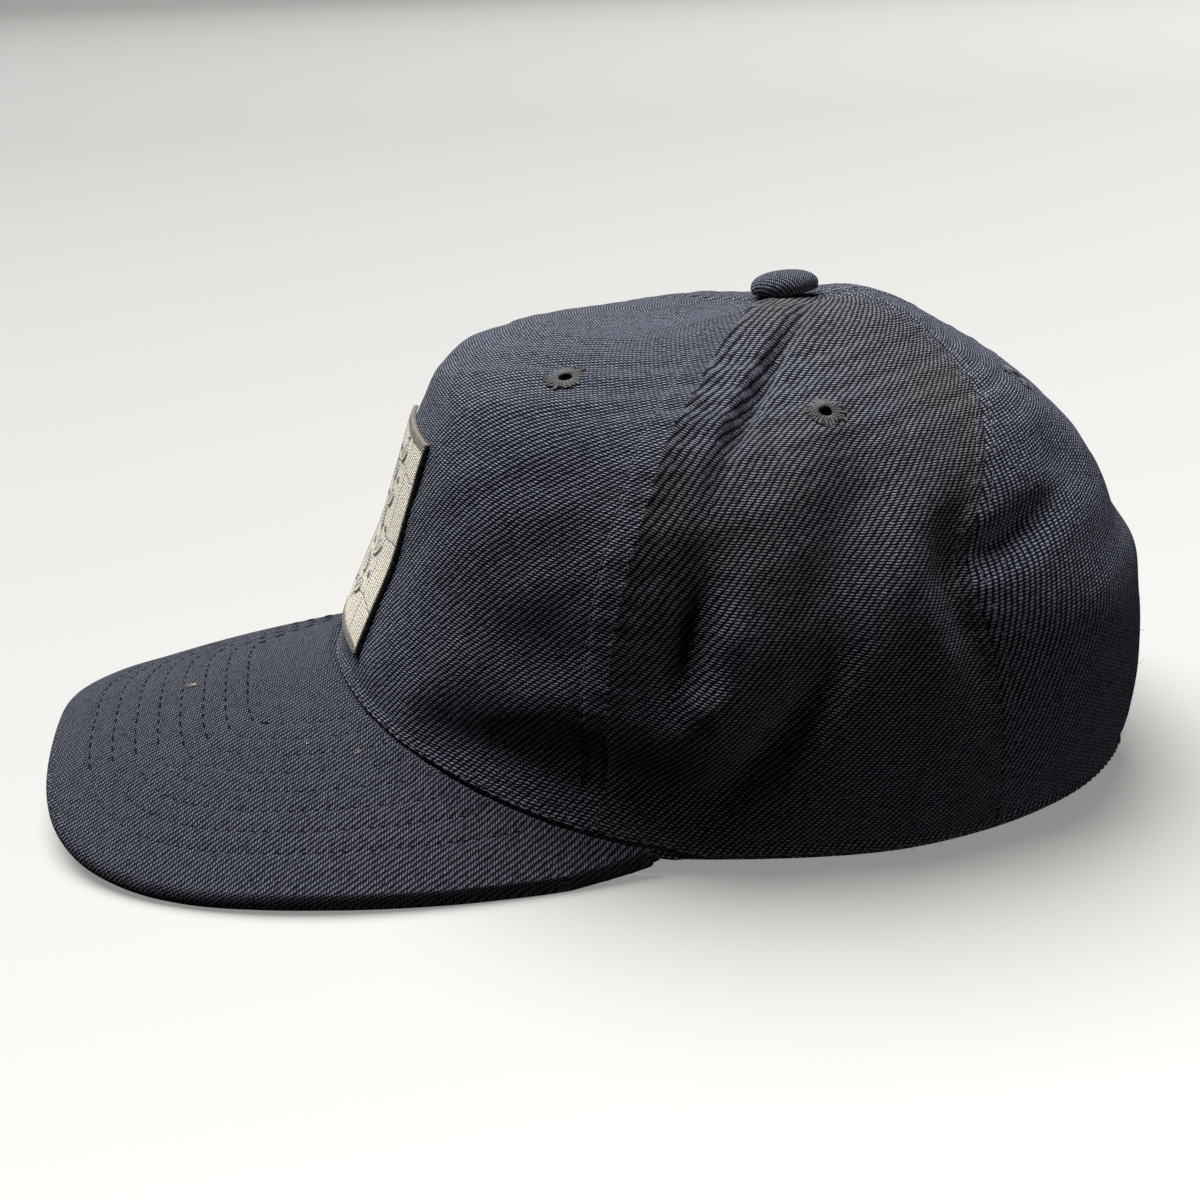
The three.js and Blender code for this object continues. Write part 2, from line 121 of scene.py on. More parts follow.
def mix(a, b, share):
    """From a to b by a share: a plus the share of their difference."""
    return a + (b - a) * share


def bell(distance, at, width):
    """1 where the distance is at, dying out over the width on both sides."""
    return np.exp(-(((distance - at) / width) ** 2))


def unit(vectors):
    """Vectors over their lengths, so each is 1 long."""
    return vectors / np.linalg.norm(vectors, axis=-1, keepdims=True)


def turned(x, y, degrees):
    """The same places on axes turned by some degrees: x cos a + y sin a, and y cos a - x sin a."""
    c, s = math.cos(math.radians(degrees)), math.sin(math.radians(degrees))
    return x * c + y * s, y * c - x * s


def full_turn(count):
    """That many equal steps of angle round a circle."""
    return np.arange(count) * 2 * math.pi / count


def spokes(first, second, angle):
    """Directions round a circle: one axis times the cosine plus the other times the sine."""
    first, second = first[..., None, :], second[..., None, :]
    return first * np.cos(angle)[:, None] + second * np.sin(angle)[:, None]


def run_length(points, axis=0):
    """How far along a line of points each point is: the sum of the steps before it."""
    steps = np.linalg.norm(np.diff(points, axis=axis), axis=-1)
    start = np.zeros_like(np.take(steps, [0], axis=axis))
    return np.concatenate([start, np.cumsum(steps, axis=axis)], axis=axis)


# %% Profiles of the crown
PROFILE = table(
    "t front_y front_z side_x side_z back_y back_z",
    (0.00, -101.1, 0.0, 81.1, 0.0, 99.0, 0.0),
    (0.12, -97.3, 15.0, 83.0, 13.5, 101.3, 11.7),
    (0.25, -92.6, 28.7, 84.0, 29.2, 101.8, 25.6),
    (0.38, -86.9, 44.2, 83.2, 46.0, 99.7, 41.4),
    (0.50, -81.7, 62.1, 79.6, 62.7, 93.3, 57.9),
    (0.62, -76.1, 80.3, 72.6, 77.9, 85.3, 74.7),
    (0.74, -66.6, 97.2, 60.5, 91.6, 70.6, 89.6),
    (0.84, -46.8, 105.3, 44.1, 100.5, 53.2, 101.0),
    (0.93, -18.4, 106.3, 22.1, 107.2, 34.0, 110.4),
    (1.00, 12.9, 109.3, 0.0, 109.3, 12.9, 109.3),
)
profile = {name: through(PROFILE, name) for name in PROFILE[0] if name != "t"}

# The two seams on each side, in degrees from the middle of the front
SEAMS = table(
    "t front back",
    (0.00, 62.0, 116.0),
    (0.20, 60.5, 113.0),
    (0.38, 58.5, 110.5),
    (0.50, 59.5, 109.5),
    (0.60, 61.5, 113.5),
    (0.70, 64.5, 123.0),
    (0.80, 67.0, 137.0),
    (0.90, 67.5, 150.0),
    (1.00, 68.0, 152.0),
)
front_seam = through(SEAMS, "front")
back_seam = through(SEAMS, "back")

# %% [markdown]
# The plan of the crown is an ellipse made slightly squarer at its corners. Its front edge rides on
# the peak, which is arched, so the rim is lifted in front and comes down to the table at the
# sides. The peak's own height is a formula of its place in the plan, and the crown asks it.

# %% Plan of the crown and height of the peak
BOXINESS = 0.028
RIM_FALL = 36
RIM_LIFT_ENDS = 0.8
APEX_ROW = 0.988
CENTRE_Y = 35.6
PEAK = dict(
    thick=3.8, tip_y=-171.0, joint_z=27.93, joint_y=-97, slope=0.161, sag=3.1, sag_reach=70,
    arch_front=21.0, arch_back=31.0, arch_half=80, arch_power=1.92,
    arch_front_y=-130, arch_back_y=-22,
    end_angle=72.5, squareness=3.4, overhang=1.5, flare=0.047, nose=1.6, cut_back=0.965,
)  # fmt: skip


def peak_top(x, y):
    """Slopes down to the tip, less a sag with the square of the distance ahead of the joint, less
    an arch across that grows from the front to the back."""
    back = smooth((y - PEAK["arch_front_y"]) / (PEAK["arch_back_y"] - PEAK["arch_front_y"]))
    arch = mix(PEAK["arch_front"], PEAK["arch_back"], back)
    drop = arch * (np.abs(x) / PEAK["arch_half"]) ** PEAK["arch_power"]
    ahead = y - PEAK["joint_y"]
    sag = PEAK["sag"] * (ahead / PEAK["sag_reach"]) ** 2
    return PEAK["joint_z"] + PEAK["slope"] * ahead - sag - drop


def plan(phi, t):
    """x and y of the crown at azimuth phi in degrees and height t: an ellipse, swollen by
    BOXINESS times the square of sin(2 phi)."""
    a = np.radians(phi)
    swell = 1 + BOXINESS * np.sin(2 * a) ** 2
    middle = (profile["front_y"](t) + profile["back_y"](t)) / 2
    reach = (profile["back_y"](t) - profile["front_y"](t)) / 2
    return profile["side_x"](t) * np.sin(a) * swell, middle - reach * np.cos(a) * swell


def from_front(phi):
    """Degrees from the middle of the front, 0 to 180, on either side."""
    return np.abs((phi + 180) % 360 - 180)


def rim_lift(phi):
    """The rim rides on the peak's underside as far as the joint goes. Behind it the lift dies out
    over RIM_FALL degrees, as an S."""
    side = from_front(phi)
    held = np.minimum(side, PEAK["end_angle"])
    lift = peak_top(*plan(held, np.zeros_like(held))) - PEAK["thick"]
    return lift * smooth(1 - (side - held) / RIM_FALL)


def crown_base(phi, t):
    """Points of the crown without its dents: plan for x and y, and for z the side profile mixed
    with the front or back profile by the square of cos(phi), plus the lift of the rim."""
    x, y = plan(phi, t)
    c = np.cos(np.radians(phi))
    end = np.where(c > 0, profile["front_z"](t), profile["back_z"](t))
    fade = np.clip(1 - t / RIM_LIFT_ENDS, 0, 1)
    z = mix(profile["side_z"](t), end, c * c) + rim_lift(phi) * fade
    return np.stack([x, y, z], -1)


def normal_of(surface, phi, t):
    """Outward direction: a small step round the crown, crossed with a small step up it."""
    d = 0.002
    across = surface(phi + 180 * d, t) - surface(phi - 180 * d, t)
    up = surface(phi, np.minimum(t + d, 0.999)) - surface(phi, np.maximum(t - d, 0))
    return unit(np.cross(across, up))


# %% [markdown]
# A worn cap isn't smooth: the cloth is dented over the peak's joint, folded beside the seams and
# creased at the back. Sculpting could do that by hand. A table of soft hollows does it in a way
# that can be read and changed, and the hollows follow a seam if the seam moves.

# %% Dents and swells of the crown
DENTS = table(
    "name line shift lean t width tall depth",
    ("hollow over the joint", 61, 0, 0, 0.150, 25, 0.070, -6.5),
    ("front end of that hollow", 41, 0, 0, 0.105, 11, 0.050, -2.2),
    ("front panel hollow", 50, 0, 0, 0.365, 15, 0.060, -1.4),
    ("front panel corner", 30, 0, 0, 0.60, 24, 0.22, 1.6),
    ("ridge of the seam", "front", -1, 0, 0.55, 7.0, 0.26, 1.5),
    ("ridge by the seam", "front", 9, 0, 0.78, 2.6, 0.15, 0.7),
    ("upper fold by the seam", "front", 12.0, 0, 0.81, 2.4, 0.13, -3.2),
    ("slope behind that fold", "front", 18, 0, 0.78, 8.0, 0.13, -2.0),
    ("lower fold by the seam", "front", 14, 0, 0.42, 4.6, 0.12, -5.4),
    ("bump behind that fold", 74, 0, 0, 0.44, 4.0, 0.045, 1.6),
    ("bump under that fold", 71, 0, 0, 0.33, 6.0, 0.035, 1.8),
    ("side panel swell", 76, 0, 50, 0.38, 7.5, 0.15, 2.0),
    ("slanting fold", 82.6, 0, 41, 0.28, 6.5, 0.17, -4.6),
    ("ridge behind that fold", 93, 0, 38, 0.42, 8.0, 0.16, 1.6),
    ("side panel hollow", 93, 0, 57, 0.61, 8.5, 0.16, -4.0),
    ("crease edge", "back", -13, 0, 0.46, 5.0, 0.12, 1.4),
    ("crease", "back", -4.5, 0, 0.44, 4.6, 0.11, -3.2),
    ("dimple before the seam", "back", -6, 0, 0.56, 5.0, 0.055, -3.2),
    ("dimple behind the seam", 119, 0, 190, 0.56, 11.0, 0.05, -4.0),
    ("back panel bulge", 128, 0, 0, 0.43, 20, 0.08, 2.4),
    ("back panel hollow", 142, 0, 0, 0.64, 11, 0.05, -2.6),
    ("swell over the arch", 160, 0, 0, 0.445, 22, 0.05, 2.0),
)
RIGHT_SIDE = 0.7
APEX_FADE = 0.07
BUTTON_SWELL = dict(t=0.94, tall=0.06, height=3.1)


def dents(phi, t):
    """Sum of the dents: each is its depth times a bell across its line and a bell along t. The
    wearer's right side has them weaker, and they die out under the button, where the left side
    swells a little instead."""
    side = from_front(phi)
    girth = (2 * profile["side_x"](t) + profile["back_y"](t) - profile["front_y"](t)) / 4
    lines = dict(front=front_seam(t), back=back_seam(t))
    total = np.zeros(np.broadcast(phi, t).shape)
    for dent in DENTS:
        turn = side - lines.get(dent["line"], dent["line"]) - dent["lean"] * (t - dent["t"])
        across = bell(np.radians(turn) * girth, dent["shift"], dent["width"])
        total += dent["depth"] * across * bell(t, dent["t"], dent["tall"])
    share = mix(RIGHT_SIDE, 1, (1 + np.sin(np.radians(phi))) / 2)
    swell = BUTTON_SWELL["height"] * bell(t, BUTTON_SWELL["t"], BUTTON_SWELL["tall"])
    swell = swell * np.clip(np.sin(np.radians(phi)), 0, 1) ** 2
    return total * share * smooth((APEX_ROW - t) / APEX_FADE) + swell


def crown_face(phi, t):
    """The crown's outer face: its base, moved along its normal by the dents."""
    normal = normal_of(crown_base, phi, t)
    return crown_base(phi, t) + normal * dents(phi, t)[..., None]


def mm_per_degree(phi, t):
    """Way round the crown for one degree: half a degree to either side."""
    return np.linalg.norm(crown_base(phi + 0.5, t) - crown_base(phi - 0.5, t), axis=-1)


def mm_per_t(phi, t):
    """Way up the crown for one unit of t: a short step over its length in t."""
    step = 0.02
    low = np.maximum(t - step / 2, 0)
    return np.linalg.norm(crown_base(phi, low + step) - crown_base(phi, low), axis=-1) / step


print("crown at the ear, half way up:", crown_face(np.array(90.0), np.array(0.5)).round(1))

# %% [markdown]
# At the back the two panels are cut away in an arch over the strap. Its edge is a curve too, so
# it is kept as a line of points, and the distance to that line tells any stitch or hem near it
# how far away the edge is.

# %% The arch at the back
ARCH = dict(half_angle=28, top_t=0.41, squareness=2.7)


def squarish(share):
    """A quarter of a superellipse, 1 at share 0 and 0 at share 1: the two, each to the power of
    the squareness, add up to 1."""
    power = ARCH["squareness"]
    return (1 - share**power) ** (1 / power)


def arch_edge(t):
    """Azimuth where the back panels end: 180 above the arch, and below it less than that by the
    arch's half angle, which closes as a squarish ellipse does."""
    return 180 - ARCH["half_angle"] * squarish(np.clip(t / ARCH["top_t"], 0, 1))


def arch_line():
    """Points down both sides of the arch, at equal steps of azimuth and then of height."""
    flat = ARCH["top_t"] * squarish(np.linspace(0, 1, 120))
    upright = np.linspace(0, ARCH["top_t"] * 0.9, 60)
    t = np.concatenate([flat, upright])
    return np.concatenate([crown_base(side * arch_edge(t), t) for side in (1, -1)])


def distance_to(points, line):
    """Shortest distance from each point to a line of points, worked out in slices of the grid."""
    flat = points.reshape(-1, points.shape[-1])
    nearest = [
        np.sqrt(((part[:, None] - line[None]) ** 2).sum(-1).min(1))
        for part in np.array_split(flat, max(1, len(flat) // 2000))
    ]
    return np.concatenate(nearest).reshape(points.shape[:-1])


ARCH_LINE = arch_line()
print("the arch's edge is", round(run_length(ARCH_LINE[:180])[-1]), "mm long on each side")

# %% [markdown]
# Sewing shows as relief. A seam is a valley with the cloth rounded into it, a row of stitches
# pulls a narrow groove, and a folded hem stands up as a roll. All of it is bells of the distance
# to the seam, so it could be a bump map, but real depth also catches light from the side.

# %% Relief of the seams and hems
SEAM_STITCH = 2.7
HEM_STITCH = 2.3
ARCH_STITCH = 4.2
CLIMB = 120
OPEN_SEAM = table(
    "name height at width",
    ("puff", 0.15, 1.4, 0.9),
    ("valley", -0.22, 0, 0.6),
    ("groove of the stitches", -0.22, SEAM_STITCH, 0.45),
)
HEM = table(
    "name height at width",
    ("roll", 0.6, 2.4, 1.2),
    ("dark crevice under it", -1.3, 0.4, 0.8),
    ("groove over it", -0.15, 4.6, 0.6),
)
ARCH_HEM = table(
    "name height at width",
    ("roll", 0.3, 2.0, 1.6),
    ("groove of the stitches", -0.3, ARCH_STITCH, 0.5),
)
FRONT_LIP = table("name height at width", ("lip", 0.25, 0, 0.8))
SIDE_LIP = table("name height at width", ("rise", 0.35, 0, 3.0), ("lip", 0.25, 0, 0.8))
WELT = dict(width=6.0, height=0.35, inset=0.3, edge=0.9, groove=0.10, groove_width=0.5)
PUCKER = dict(height=0.13, length=5.3, reach=5.0, sway=1.3, sway_length=7.0)
BANK = dict(height=1.7, reach=3.5, past_end=3, fade=6)
BACK_SEAM = dict(share=0.5, radius=0.12)
MIDDLE_RADIUS = 0.5
RIPPLE_BEND = dict(size=0.8, length=2.3)
RIPPLES = table(
    "length heading height",
    (11.0, 20, 0.03),
    (17.0, 75, 0.05),
    (23.0, 130, 0.07),
    (37.0, 165, 0.12),
)


def rounded(distance, radius):
    """How far a face falls near its edge: a quarter of a circle of that radius."""
    inside = radius - np.clip(distance, 0, radius)
    return radius - np.sqrt(radius**2 - inside**2)


def ripples(u, v):
    """Slight waves of worn cloth: a few sines, each bent a little by another across it."""
    total = 0
    for row in RIPPLES:
        along, across = turned(u, v, row["heading"])
        bend_length = RIPPLE_BEND["length"] * row["length"]
        bend = RIPPLE_BEND["size"] * np.sin(across * 2 * math.pi / bend_length)
        total = total + row["height"] * np.sin(along * 2 * math.pi / row["length"] + bend)
    return total


def bells(rows, distance, total=0):
    """Adds a row's height times a bell of the distance to a line, for each row."""
    for row in rows:
        total = total + row["height"] * bell(distance, row["at"], row["width"])
    return total


def welt_seam(distance):
    """The front panel's allowances are folded under it, so a strip beside the seam stands up and
    ends in a groove of stitches."""
    strip = WELT["height"] * smooth((WELT["width"] - WELT["inset"] - distance) / WELT["edge"])
    return strip - WELT["groove"] * bell(distance, WELT["width"], WELT["groove_width"])


def joint_height(phi):
    """The peak's cloth banks up against the front and hides the lowest part of it."""
    ahead = PEAK["end_angle"] + BANK["past_end"] - from_front(phi)
    return BANK["height"] * smooth(ahead / BANK["fade"])


def pucker(along, distance):
    """Short waves that a row of stitches draws across itself, dying out away from it."""
    sway = PUCKER["sway"] * np.sin(along / PUCKER["sway_length"])
    wave = np.sin(along * 2 * math.pi / PUCKER["length"] + sway)
    return PUCKER["height"] * wave * np.exp(-distance / PUCKER["reach"])


def sewing(kind, phi, t):
    """Relief in mm that sewing adds to a panel of the crown: front, side or back. Heights up a
    panel are t times CLIMB, its rough length in mm."""
    side = from_front(phi)
    up = t * CLIMB
    height = t * mm_per_t(phi, np.full_like(t, 0.02)) - joint_height(phi)
    to_front = np.abs(side - front_seam(t)) * mm_per_degree(front_seam(t), t)
    to_back = np.abs(side - back_seam(t)) * mm_per_degree(back_seam(t), t)
    to_middle = (180 - side) * mm_per_degree(np.full_like(t, 180.0), t)
    total = ripples((phi + 180) * mm_per_degree(phi, t), up) + bells(HEM, height)
    if kind == "front":
        total = bells(FRONT_LIP, to_front, total + welt_seam(to_front)) + pucker(up, to_front)
    if kind == "side":
        total = bells(SIDE_LIP, to_front, total) + pucker(up, to_front)
    if kind != "front":
        seam = BACK_SEAM["share"] * bells(OPEN_SEAM, to_back)
        total = total + seam - rounded(to_back, BACK_SEAM["radius"]) + pucker(up, to_back)
    if kind == "back":
        above = smooth((t - ARCH["top_t"]) / 0.02)
        seam = bells(OPEN_SEAM, to_middle) - rounded(to_middle, MIDDLE_RADIUS)
        to_arch = distance_to(crown_base(phi, t), ARCH_LINE)
        total = bells(ARCH_HEM, to_arch, total + seam * above)
    return total


def sewn_face(kind, phi, t, lift=0.0):
    """The outer face of a sewn panel, lifted off the cloth by some millimetres if asked."""
    normal = normal_of(crown_face, phi, t)
    return crown_face(phi, t) + normal * (sewing(kind, phi, t) + lift)[..., None], normal


# %% [markdown]
# Blender takes arrays: all corners at once, and all faces as lists of corner numbers. A few helpers
# do this for every piece. One closes a shell between two faces over the same grid, with a wall at
# every edge and round every hole. Another closes a tube, whose profile runs round in a ring.

# %% Arrays into meshes
def new_piece(name, points, quads, material, weave=None, triangles=()):
    """Makes an object whose mesh has these points in mm, moved so that the whole cap is centred.
    weave is one vector for each point, which a material reads."""
    quads = np.asarray(quads, np.int32).reshape(-1, 4)
    triangles = np.asarray(triangles, np.int32).reshape(-1, 3)
    corners = np.concatenate([quads.ravel(), triangles.ravel()])
    used, compact = np.unique(corners, return_inverse=True)
    sizes = np.concatenate([np.full(len(quads), 4), np.full(len(triangles), 3)])
    mesh = bpy.data.meshes.new(name)
    mesh.vertices.add(len(used))
    mesh.loops.add(len(compact))
    mesh.polygons.add(len(sizes))
    places = (points.reshape(-1, 3)[used] + [0, CENTRE_Y, 0]) * MM
    mesh.vertices.foreach_set("co", places.astype(np.float32).ravel())
    mesh.loops.foreach_set("vertex_index", compact.astype(np.int32))
    mesh.polygons.foreach_set("loop_start", (np.cumsum(sizes) - sizes).astype(np.int32))
    mesh.polygons.foreach_set("use_smooth", np.ones(len(sizes), bool))
    if weave is not None:
        layer = mesh.attributes.new("weave", "FLOAT_VECTOR", "POINT")
        vectors = np.reshape(weave, (-1, 3))[used]
        layer.data.foreach_set("vector", vectors.astype(np.float32).ravel())
    mesh.update(calc_edges=True)
    mesh.materials.append(material)
    piece = bpy.data.objects.new(name, mesh)
    bpy.context.scene.collection.objects.link(piece)
    print(f"{name}: {len(quads) * 2 + len(triangles)} triangles")
    return piece


def all_cells(face):
    """A mask that keeps every cell of a grid of points."""
    return np.ones((face.shape[0] - 1, face.shape[1] - 1), bool)


def shell(outer, inner, keep):
    """Corners and quads of a closed shell: the outer face's corners come first, then the inner
    face's. The inner quads turn the other way, and where a kept cell has no kept neighbour, a
    wall joins the two faces."""
    below = outer[..., 0].size
    corner = np.arange(below).reshape(outer.shape[:2])
    a, b = corner[:-1, :-1][keep], corner[:-1, 1:][keep]
    c, d = corner[1:, 1:][keep], corner[1:, :-1][keep]
    faces = [np.stack([a, b, c, d], -1), np.stack([a, d, c, b], -1) + below]
    ring = np.pad(keep, 1)
    neighbours = [ring[:-2, 1:-1], ring[1:-1, 2:], ring[2:, 1:-1], ring[1:-1, :-2]]
    for (p, q), neighbour in zip([(a, b), (b, c), (c, d), (d, a)], neighbours):
        bare = ~neighbour[keep]
        p, q = p[bare], q[bare]
        faces.append(np.stack([q, p, p + below, q + below], -1))
    return np.concatenate([outer.reshape(-1, 3), inner.reshape(-1, 3)]), np.concatenate(faces)


def open_hole(outer, inner, keep, centre, normal, radius):
    """Drops the cells whose middle is nearer than the radius to the hole's axis, then moves the
    corners left on the edge straight out or in, until they lie on the circle."""

    def flat_offset(points):
        arm = points - centre
        return arm - (arm @ normal)[..., None] * normal

    middles = (outer[:-1, :-1] + outer[1:, 1:]) / 2
    inside = np.linalg.norm(flat_offset(middles), axis=-1) < radius
    keep &= ~inside
    touched = np.pad(inside, 1)
    near = np.zeros(outer.shape[:2], bool)
    far = np.zeros(outer.shape[:2], bool)
    for row, column in ((0, 0), (0, 1), (1, 0), (1, 1)):
        part = touched[row : row + outer.shape[0], column : column + outer.shape[1]]
        near |= part
        far |= ~part
    edge = near & far
    for face in (outer, inner):
        arm = flat_offset(face[edge])
        length = np.linalg.norm(arm, axis=-1, keepdims=True)
        face[edge] += arm * (radius / length - 1)


def ring_quads(around, along, closed=False):
    """Quads between rings of corners. Corner (i, j) is number i * around + j: j runs round a ring
    and i along the path, which may close on itself."""
    i, j = np.meshgrid(np.arange(along - (not closed)), np.arange(around), indexing="ij")
    k, n = (i + 1) % along, (j + 1) % around
    quads = [i * around + j, k * around + j, k * around + n, i * around + n]
    return np.stack(quads, -1).reshape(-1, 4)


# Order of a quad's corners that turns its face the other way
INSIDE_OUT = [0, 3, 2, 1]


def capped_tube(around, along):
    """Rings whose two ends are closed by a strip between the two halves of the profile."""
    j = np.arange(around // 2 - 1)
    strip = np.stack([j, j + 1, around - 2 - j, around - 1 - j], -1)
    last = strip[:, ::-1] + (along - 1) * around
    return np.concatenate([ring_quads(around, along), strip, last])


def dress(piece, slot, *nodes):
    """The piece moves with the cap's one body, and stands for its solids, which are hidden.
    The slot is not used."""
    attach(piece, "root")
    if nodes:
        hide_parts(*nodes)


# %% [markdown]
# The cloth is a ribbed twill: thick yarns lie side by side in slanting ribs, and each rib shows as
# a row of short beads, because fine yarns cross it aslant and dive under it. Modelling it would
# take millions of faces, so it is a procedural material. It reads the weave attribute of each
# piece: millimetres across the ribs, millimetres along them, and how worn the cloth is.

# %% Twill material
RIB = 1.22
BEAD = 0.78
SLANT = 0.7
# GAP is the colour between the yarns, darkened as painted shade.
GAP = (0.002, 0.002, 0.005, 1)
VALLEY = 0.05
FUZZ = 0.4
SWAY = dict(broad=0.9, fine=0.5)
FINENESS = dict(broad=140, fine=900, fuzz=4200, fade=34)
SHADE = dict(slope=2.6, start=-1.35, spread=1.1, least=0.45)
FADE = dict(slope=1.6, start=-0.45)


def start_material(name, **sockets):
    """A Principled material with these sockets set, its node tree and its shader."""
    material = bpy.data.materials.new(name)
    material.use_nodes = True
    shader = material.node_tree.nodes["Principled BSDF"]
    for socket, value in sockets.items():
        shader.inputs[socket.replace("_", " ").title().replace("Ior", "IOR")].default_value = value
    return material, material.node_tree, shader


def put(tree, socket, value):
    """Sets a socket to a number, or links it to another socket."""
    if isinstance(value, bpy.types.NodeSocket):
        tree.links.new(value, socket)
    else:
        socket.default_value = value


def calculate(tree, operation, a, b=0.0, c=0.0):
    """One step of arithmetic on the surface: a Math node and its result."""
    node = tree.nodes.new("ShaderNodeMath")
    node.operation = operation
    for socket, value in zip(node.inputs, (a, b, c)):
        put(tree, socket, value)
    return node.outputs[0]


def arithmetic(tree):
    """The function calculate, tied to one material's tree."""
    return lambda operation, *values: calculate(tree, operation, *values)


def held(tree, value):
    """The value, kept between 0 and 1."""
    node = tree.nodes.new("ShaderNodeClamp")
    tree.links.new(value, node.inputs[0])
    return node.outputs[0]


def blend_colours(tree, share, first, second, how="MIX"):
    """The first colour mixed with the second by a share, or multiplied by it."""
    node = tree.nodes.new("ShaderNodeMix")
    node.data_type = "RGBA"
    node.blend_type = how
    put(tree, node.inputs[0], share)
    put(tree, node.inputs[6], first)
    put(tree, node.inputs[7], second)
    return node.outputs[2]


def coordinates(tree, kind="Object"):
    """Where a point is: Object is in the object's own metres, Generated a direction to the sky."""
    return tree.nodes.new("ShaderNodeTexCoord").outputs[kind]


def noise(tree, scale, detail=2.0):
    """Noise on the object's own coordinates, in features per metre."""
    node = tree.nodes.new("ShaderNodeTexNoise")
    node.inputs["Scale"].default_value = scale
    node.inputs["Detail"].default_value = detail
    tree.links.new(coordinates(tree), node.inputs["Vector"])
    return node.outputs[0]


def parts_of(tree, vector):
    """The three numbers of a vector."""
    split = tree.nodes.new("ShaderNodeSeparateXYZ")
    tree.links.new(vector, split.inputs[0])
    return split.outputs


def weave_parts(tree):
    """The three numbers of the weave attribute."""
    attribute = tree.nodes.new("ShaderNodeAttribute")
    attribute.attribute_name = "weave"
    return parts_of(tree, attribute.outputs["Vector"])


def paint(tree, shader, colour, height, depth):
    """Gives the surface its colour, and its relief by bump: height 1 stands depth metres above
    height 0."""
    put(tree, shader.inputs["Base Color"], colour)
    bump = tree.nodes.new("ShaderNodeBump")
    bump.inputs["Distance"].default_value = depth
    tree.links.new(height, bump.inputs["Height"])
    tree.links.new(bump.outputs[0], shader.inputs["Normal"])


def twill(name, crest, worn, rib):
    """Ribs are sines of the distance across them, beads are sines of a distance aslant to it, and
    their product is the height of the yarn. The colour follows that height: the dark gaps between
    yarns and the pale crests are partly the weave's own and partly painted shade and painted light
    of the ribs, and each bead has its own random tone. Broad noise times the wear turns the crests
    paler."""
    material, tree, shader = start_material(
        name,
        roughness=0.9,
        specular_ior_level=0.15,
        sheen_weight=0.08,
        sheen_roughness=0.5,
        sheen_tint=(0.5, 0.55, 0.75, 1),
    )
    step = arithmetic(tree)
    across, along, wear = weave_parts(tree)
    sway = noise(tree, FINENESS["broad"])
    sway = step("MULTIPLY_ADD", sway, SWAY["broad"], -SWAY["broad"] / 2)
    sway = step("MULTIPLY_ADD", noise(tree, FINENESS["fine"]), SWAY["fine"], sway)
    place = step("DIVIDE", step("ADD", across, sway), rib)
    number = step("FLOOR", place)
    ridge = step("SINE", step("MULTIPLY", step("SUBTRACT", place, number), math.pi))
    aslant = step("MULTIPLY_ADD", across, SLANT, along)
    place = step("DIVIDE", step("ADD", aslant, sway), BEAD * rib / RIB)
    bead_number = step("FLOOR", place)
    swell = step("SINE", step("MULTIPLY", step("SUBTRACT", place, bead_number), math.pi))
    cell = tree.nodes.new("ShaderNodeCombineXYZ")
    tree.links.new(number, cell.inputs[0])
    tree.links.new(bead_number, cell.inputs[1])
    luck = tree.nodes.new("ShaderNodeTexWhiteNoise")
    tree.links.new(cell.outputs[0], luck.inputs["Vector"])
    height = step("MULTIPLY", ridge, step("MULTIPLY_ADD", swell, 1 - VALLEY, VALLEY))
    height = step("MULTIPLY_ADD", noise(tree, FINENESS["fuzz"], 3.0), FUZZ, height)
    # Painted shade and light: the yarn's height sets its colour, near black in the gaps, pale on
    # the crests.
    shade = step("MULTIPLY_ADD", height, SHADE["slope"], SHADE["start"])
    own_shade = step("MULTIPLY_ADD", luck.outputs[0], SHADE["spread"], SHADE["least"])
    shade = held(tree, step("MULTIPLY", shade, own_shade))
    fade = noise(tree, FINENESS["fade"], 3.0)
    fade = step("MULTIPLY_ADD", fade, FADE["slope"], FADE["start"])
    threads = blend_colours(tree, step("MULTIPLY", fade, wear), crest, worn)
    paint(tree, shader, blend_colours(tree, shade, GAP, threads), height, 0.0005)
    return material


cloth = twill(
    "crown_twill", crest=(0.262, 0.270, 0.312, 1), worn=(0.225, 0.212, 0.182, 1), rib=RIB
)
peak_cloth = twill(
    "peak_twill", crest=(0.140, 0.142, 0.162, 1), worn=(0.142, 0.136, 0.118, 1), rib=1.12
)

# %% [markdown]
# Five panels make the crown. Each is a grid between its two seams, finer beside the seams where
# the relief is, and the wall goes 2 mm inwards. The seams stay where the solids have them, but the
# finer panels close the narrow gap that the solids keep between them.

# %% Grid of a panel
CLOTH = 2.0
SEAM_GAP = 0.01
ROW_STEP = 0.85
FINE_COLUMN = 0.5
WIDE_COLUMN = 1.0
FINE_REACH = 8.5
EDGE_STEPS = (0.0, 0.1, 0.25, 0.45, 0.7)
EDGE_RADIUS = dict(rim=0.8, arch=0.9)
ARCH_TURNS = np.array([0.0, 0.18, 0.3, 0.42, 0.54, 0.66])


def row_levels():
    """Heights t of the rows: a few close together at the rim, then even steps, and at the arch's
    top the ones where its edge has turned by even shares."""
    fine = np.linspace(0, APEX_ROW, 2000)
    climbed = run_length(crown_base(np.full_like(fine, 75.0), fine))
    regular = np.arange(1.0, climbed[-1] - 0.4, ROW_STEP)
    even = np.interp(np.concatenate([EDGE_STEPS, regular, [climbed[-1]]]), climbed, fine)
    arch = ARCH["top_t"] * squarish(ARCH_TURNS)
    spare = 0.003
    away = (even < arch.min() - spare) | (even > arch.max() + spare)
    return np.unique(np.concatenate([even[away], arch]))


def column_shares(width):
    """Shares of a panel's width from 0 to 1, closer together near both its seams."""
    near = np.concatenate([EDGE_STEPS, np.arange(1.0, FINE_REACH, FINE_COLUMN)])
    count = round((width - 2 * FINE_REACH) / WIDE_COLUMN)
    middle = np.linspace(FINE_REACH, width - FINE_REACH, count + 1)
    return np.concatenate([near, middle, width - near[::-1]]) / width


LEVELS = row_levels()
print("rows in each panel:", len(LEVELS))

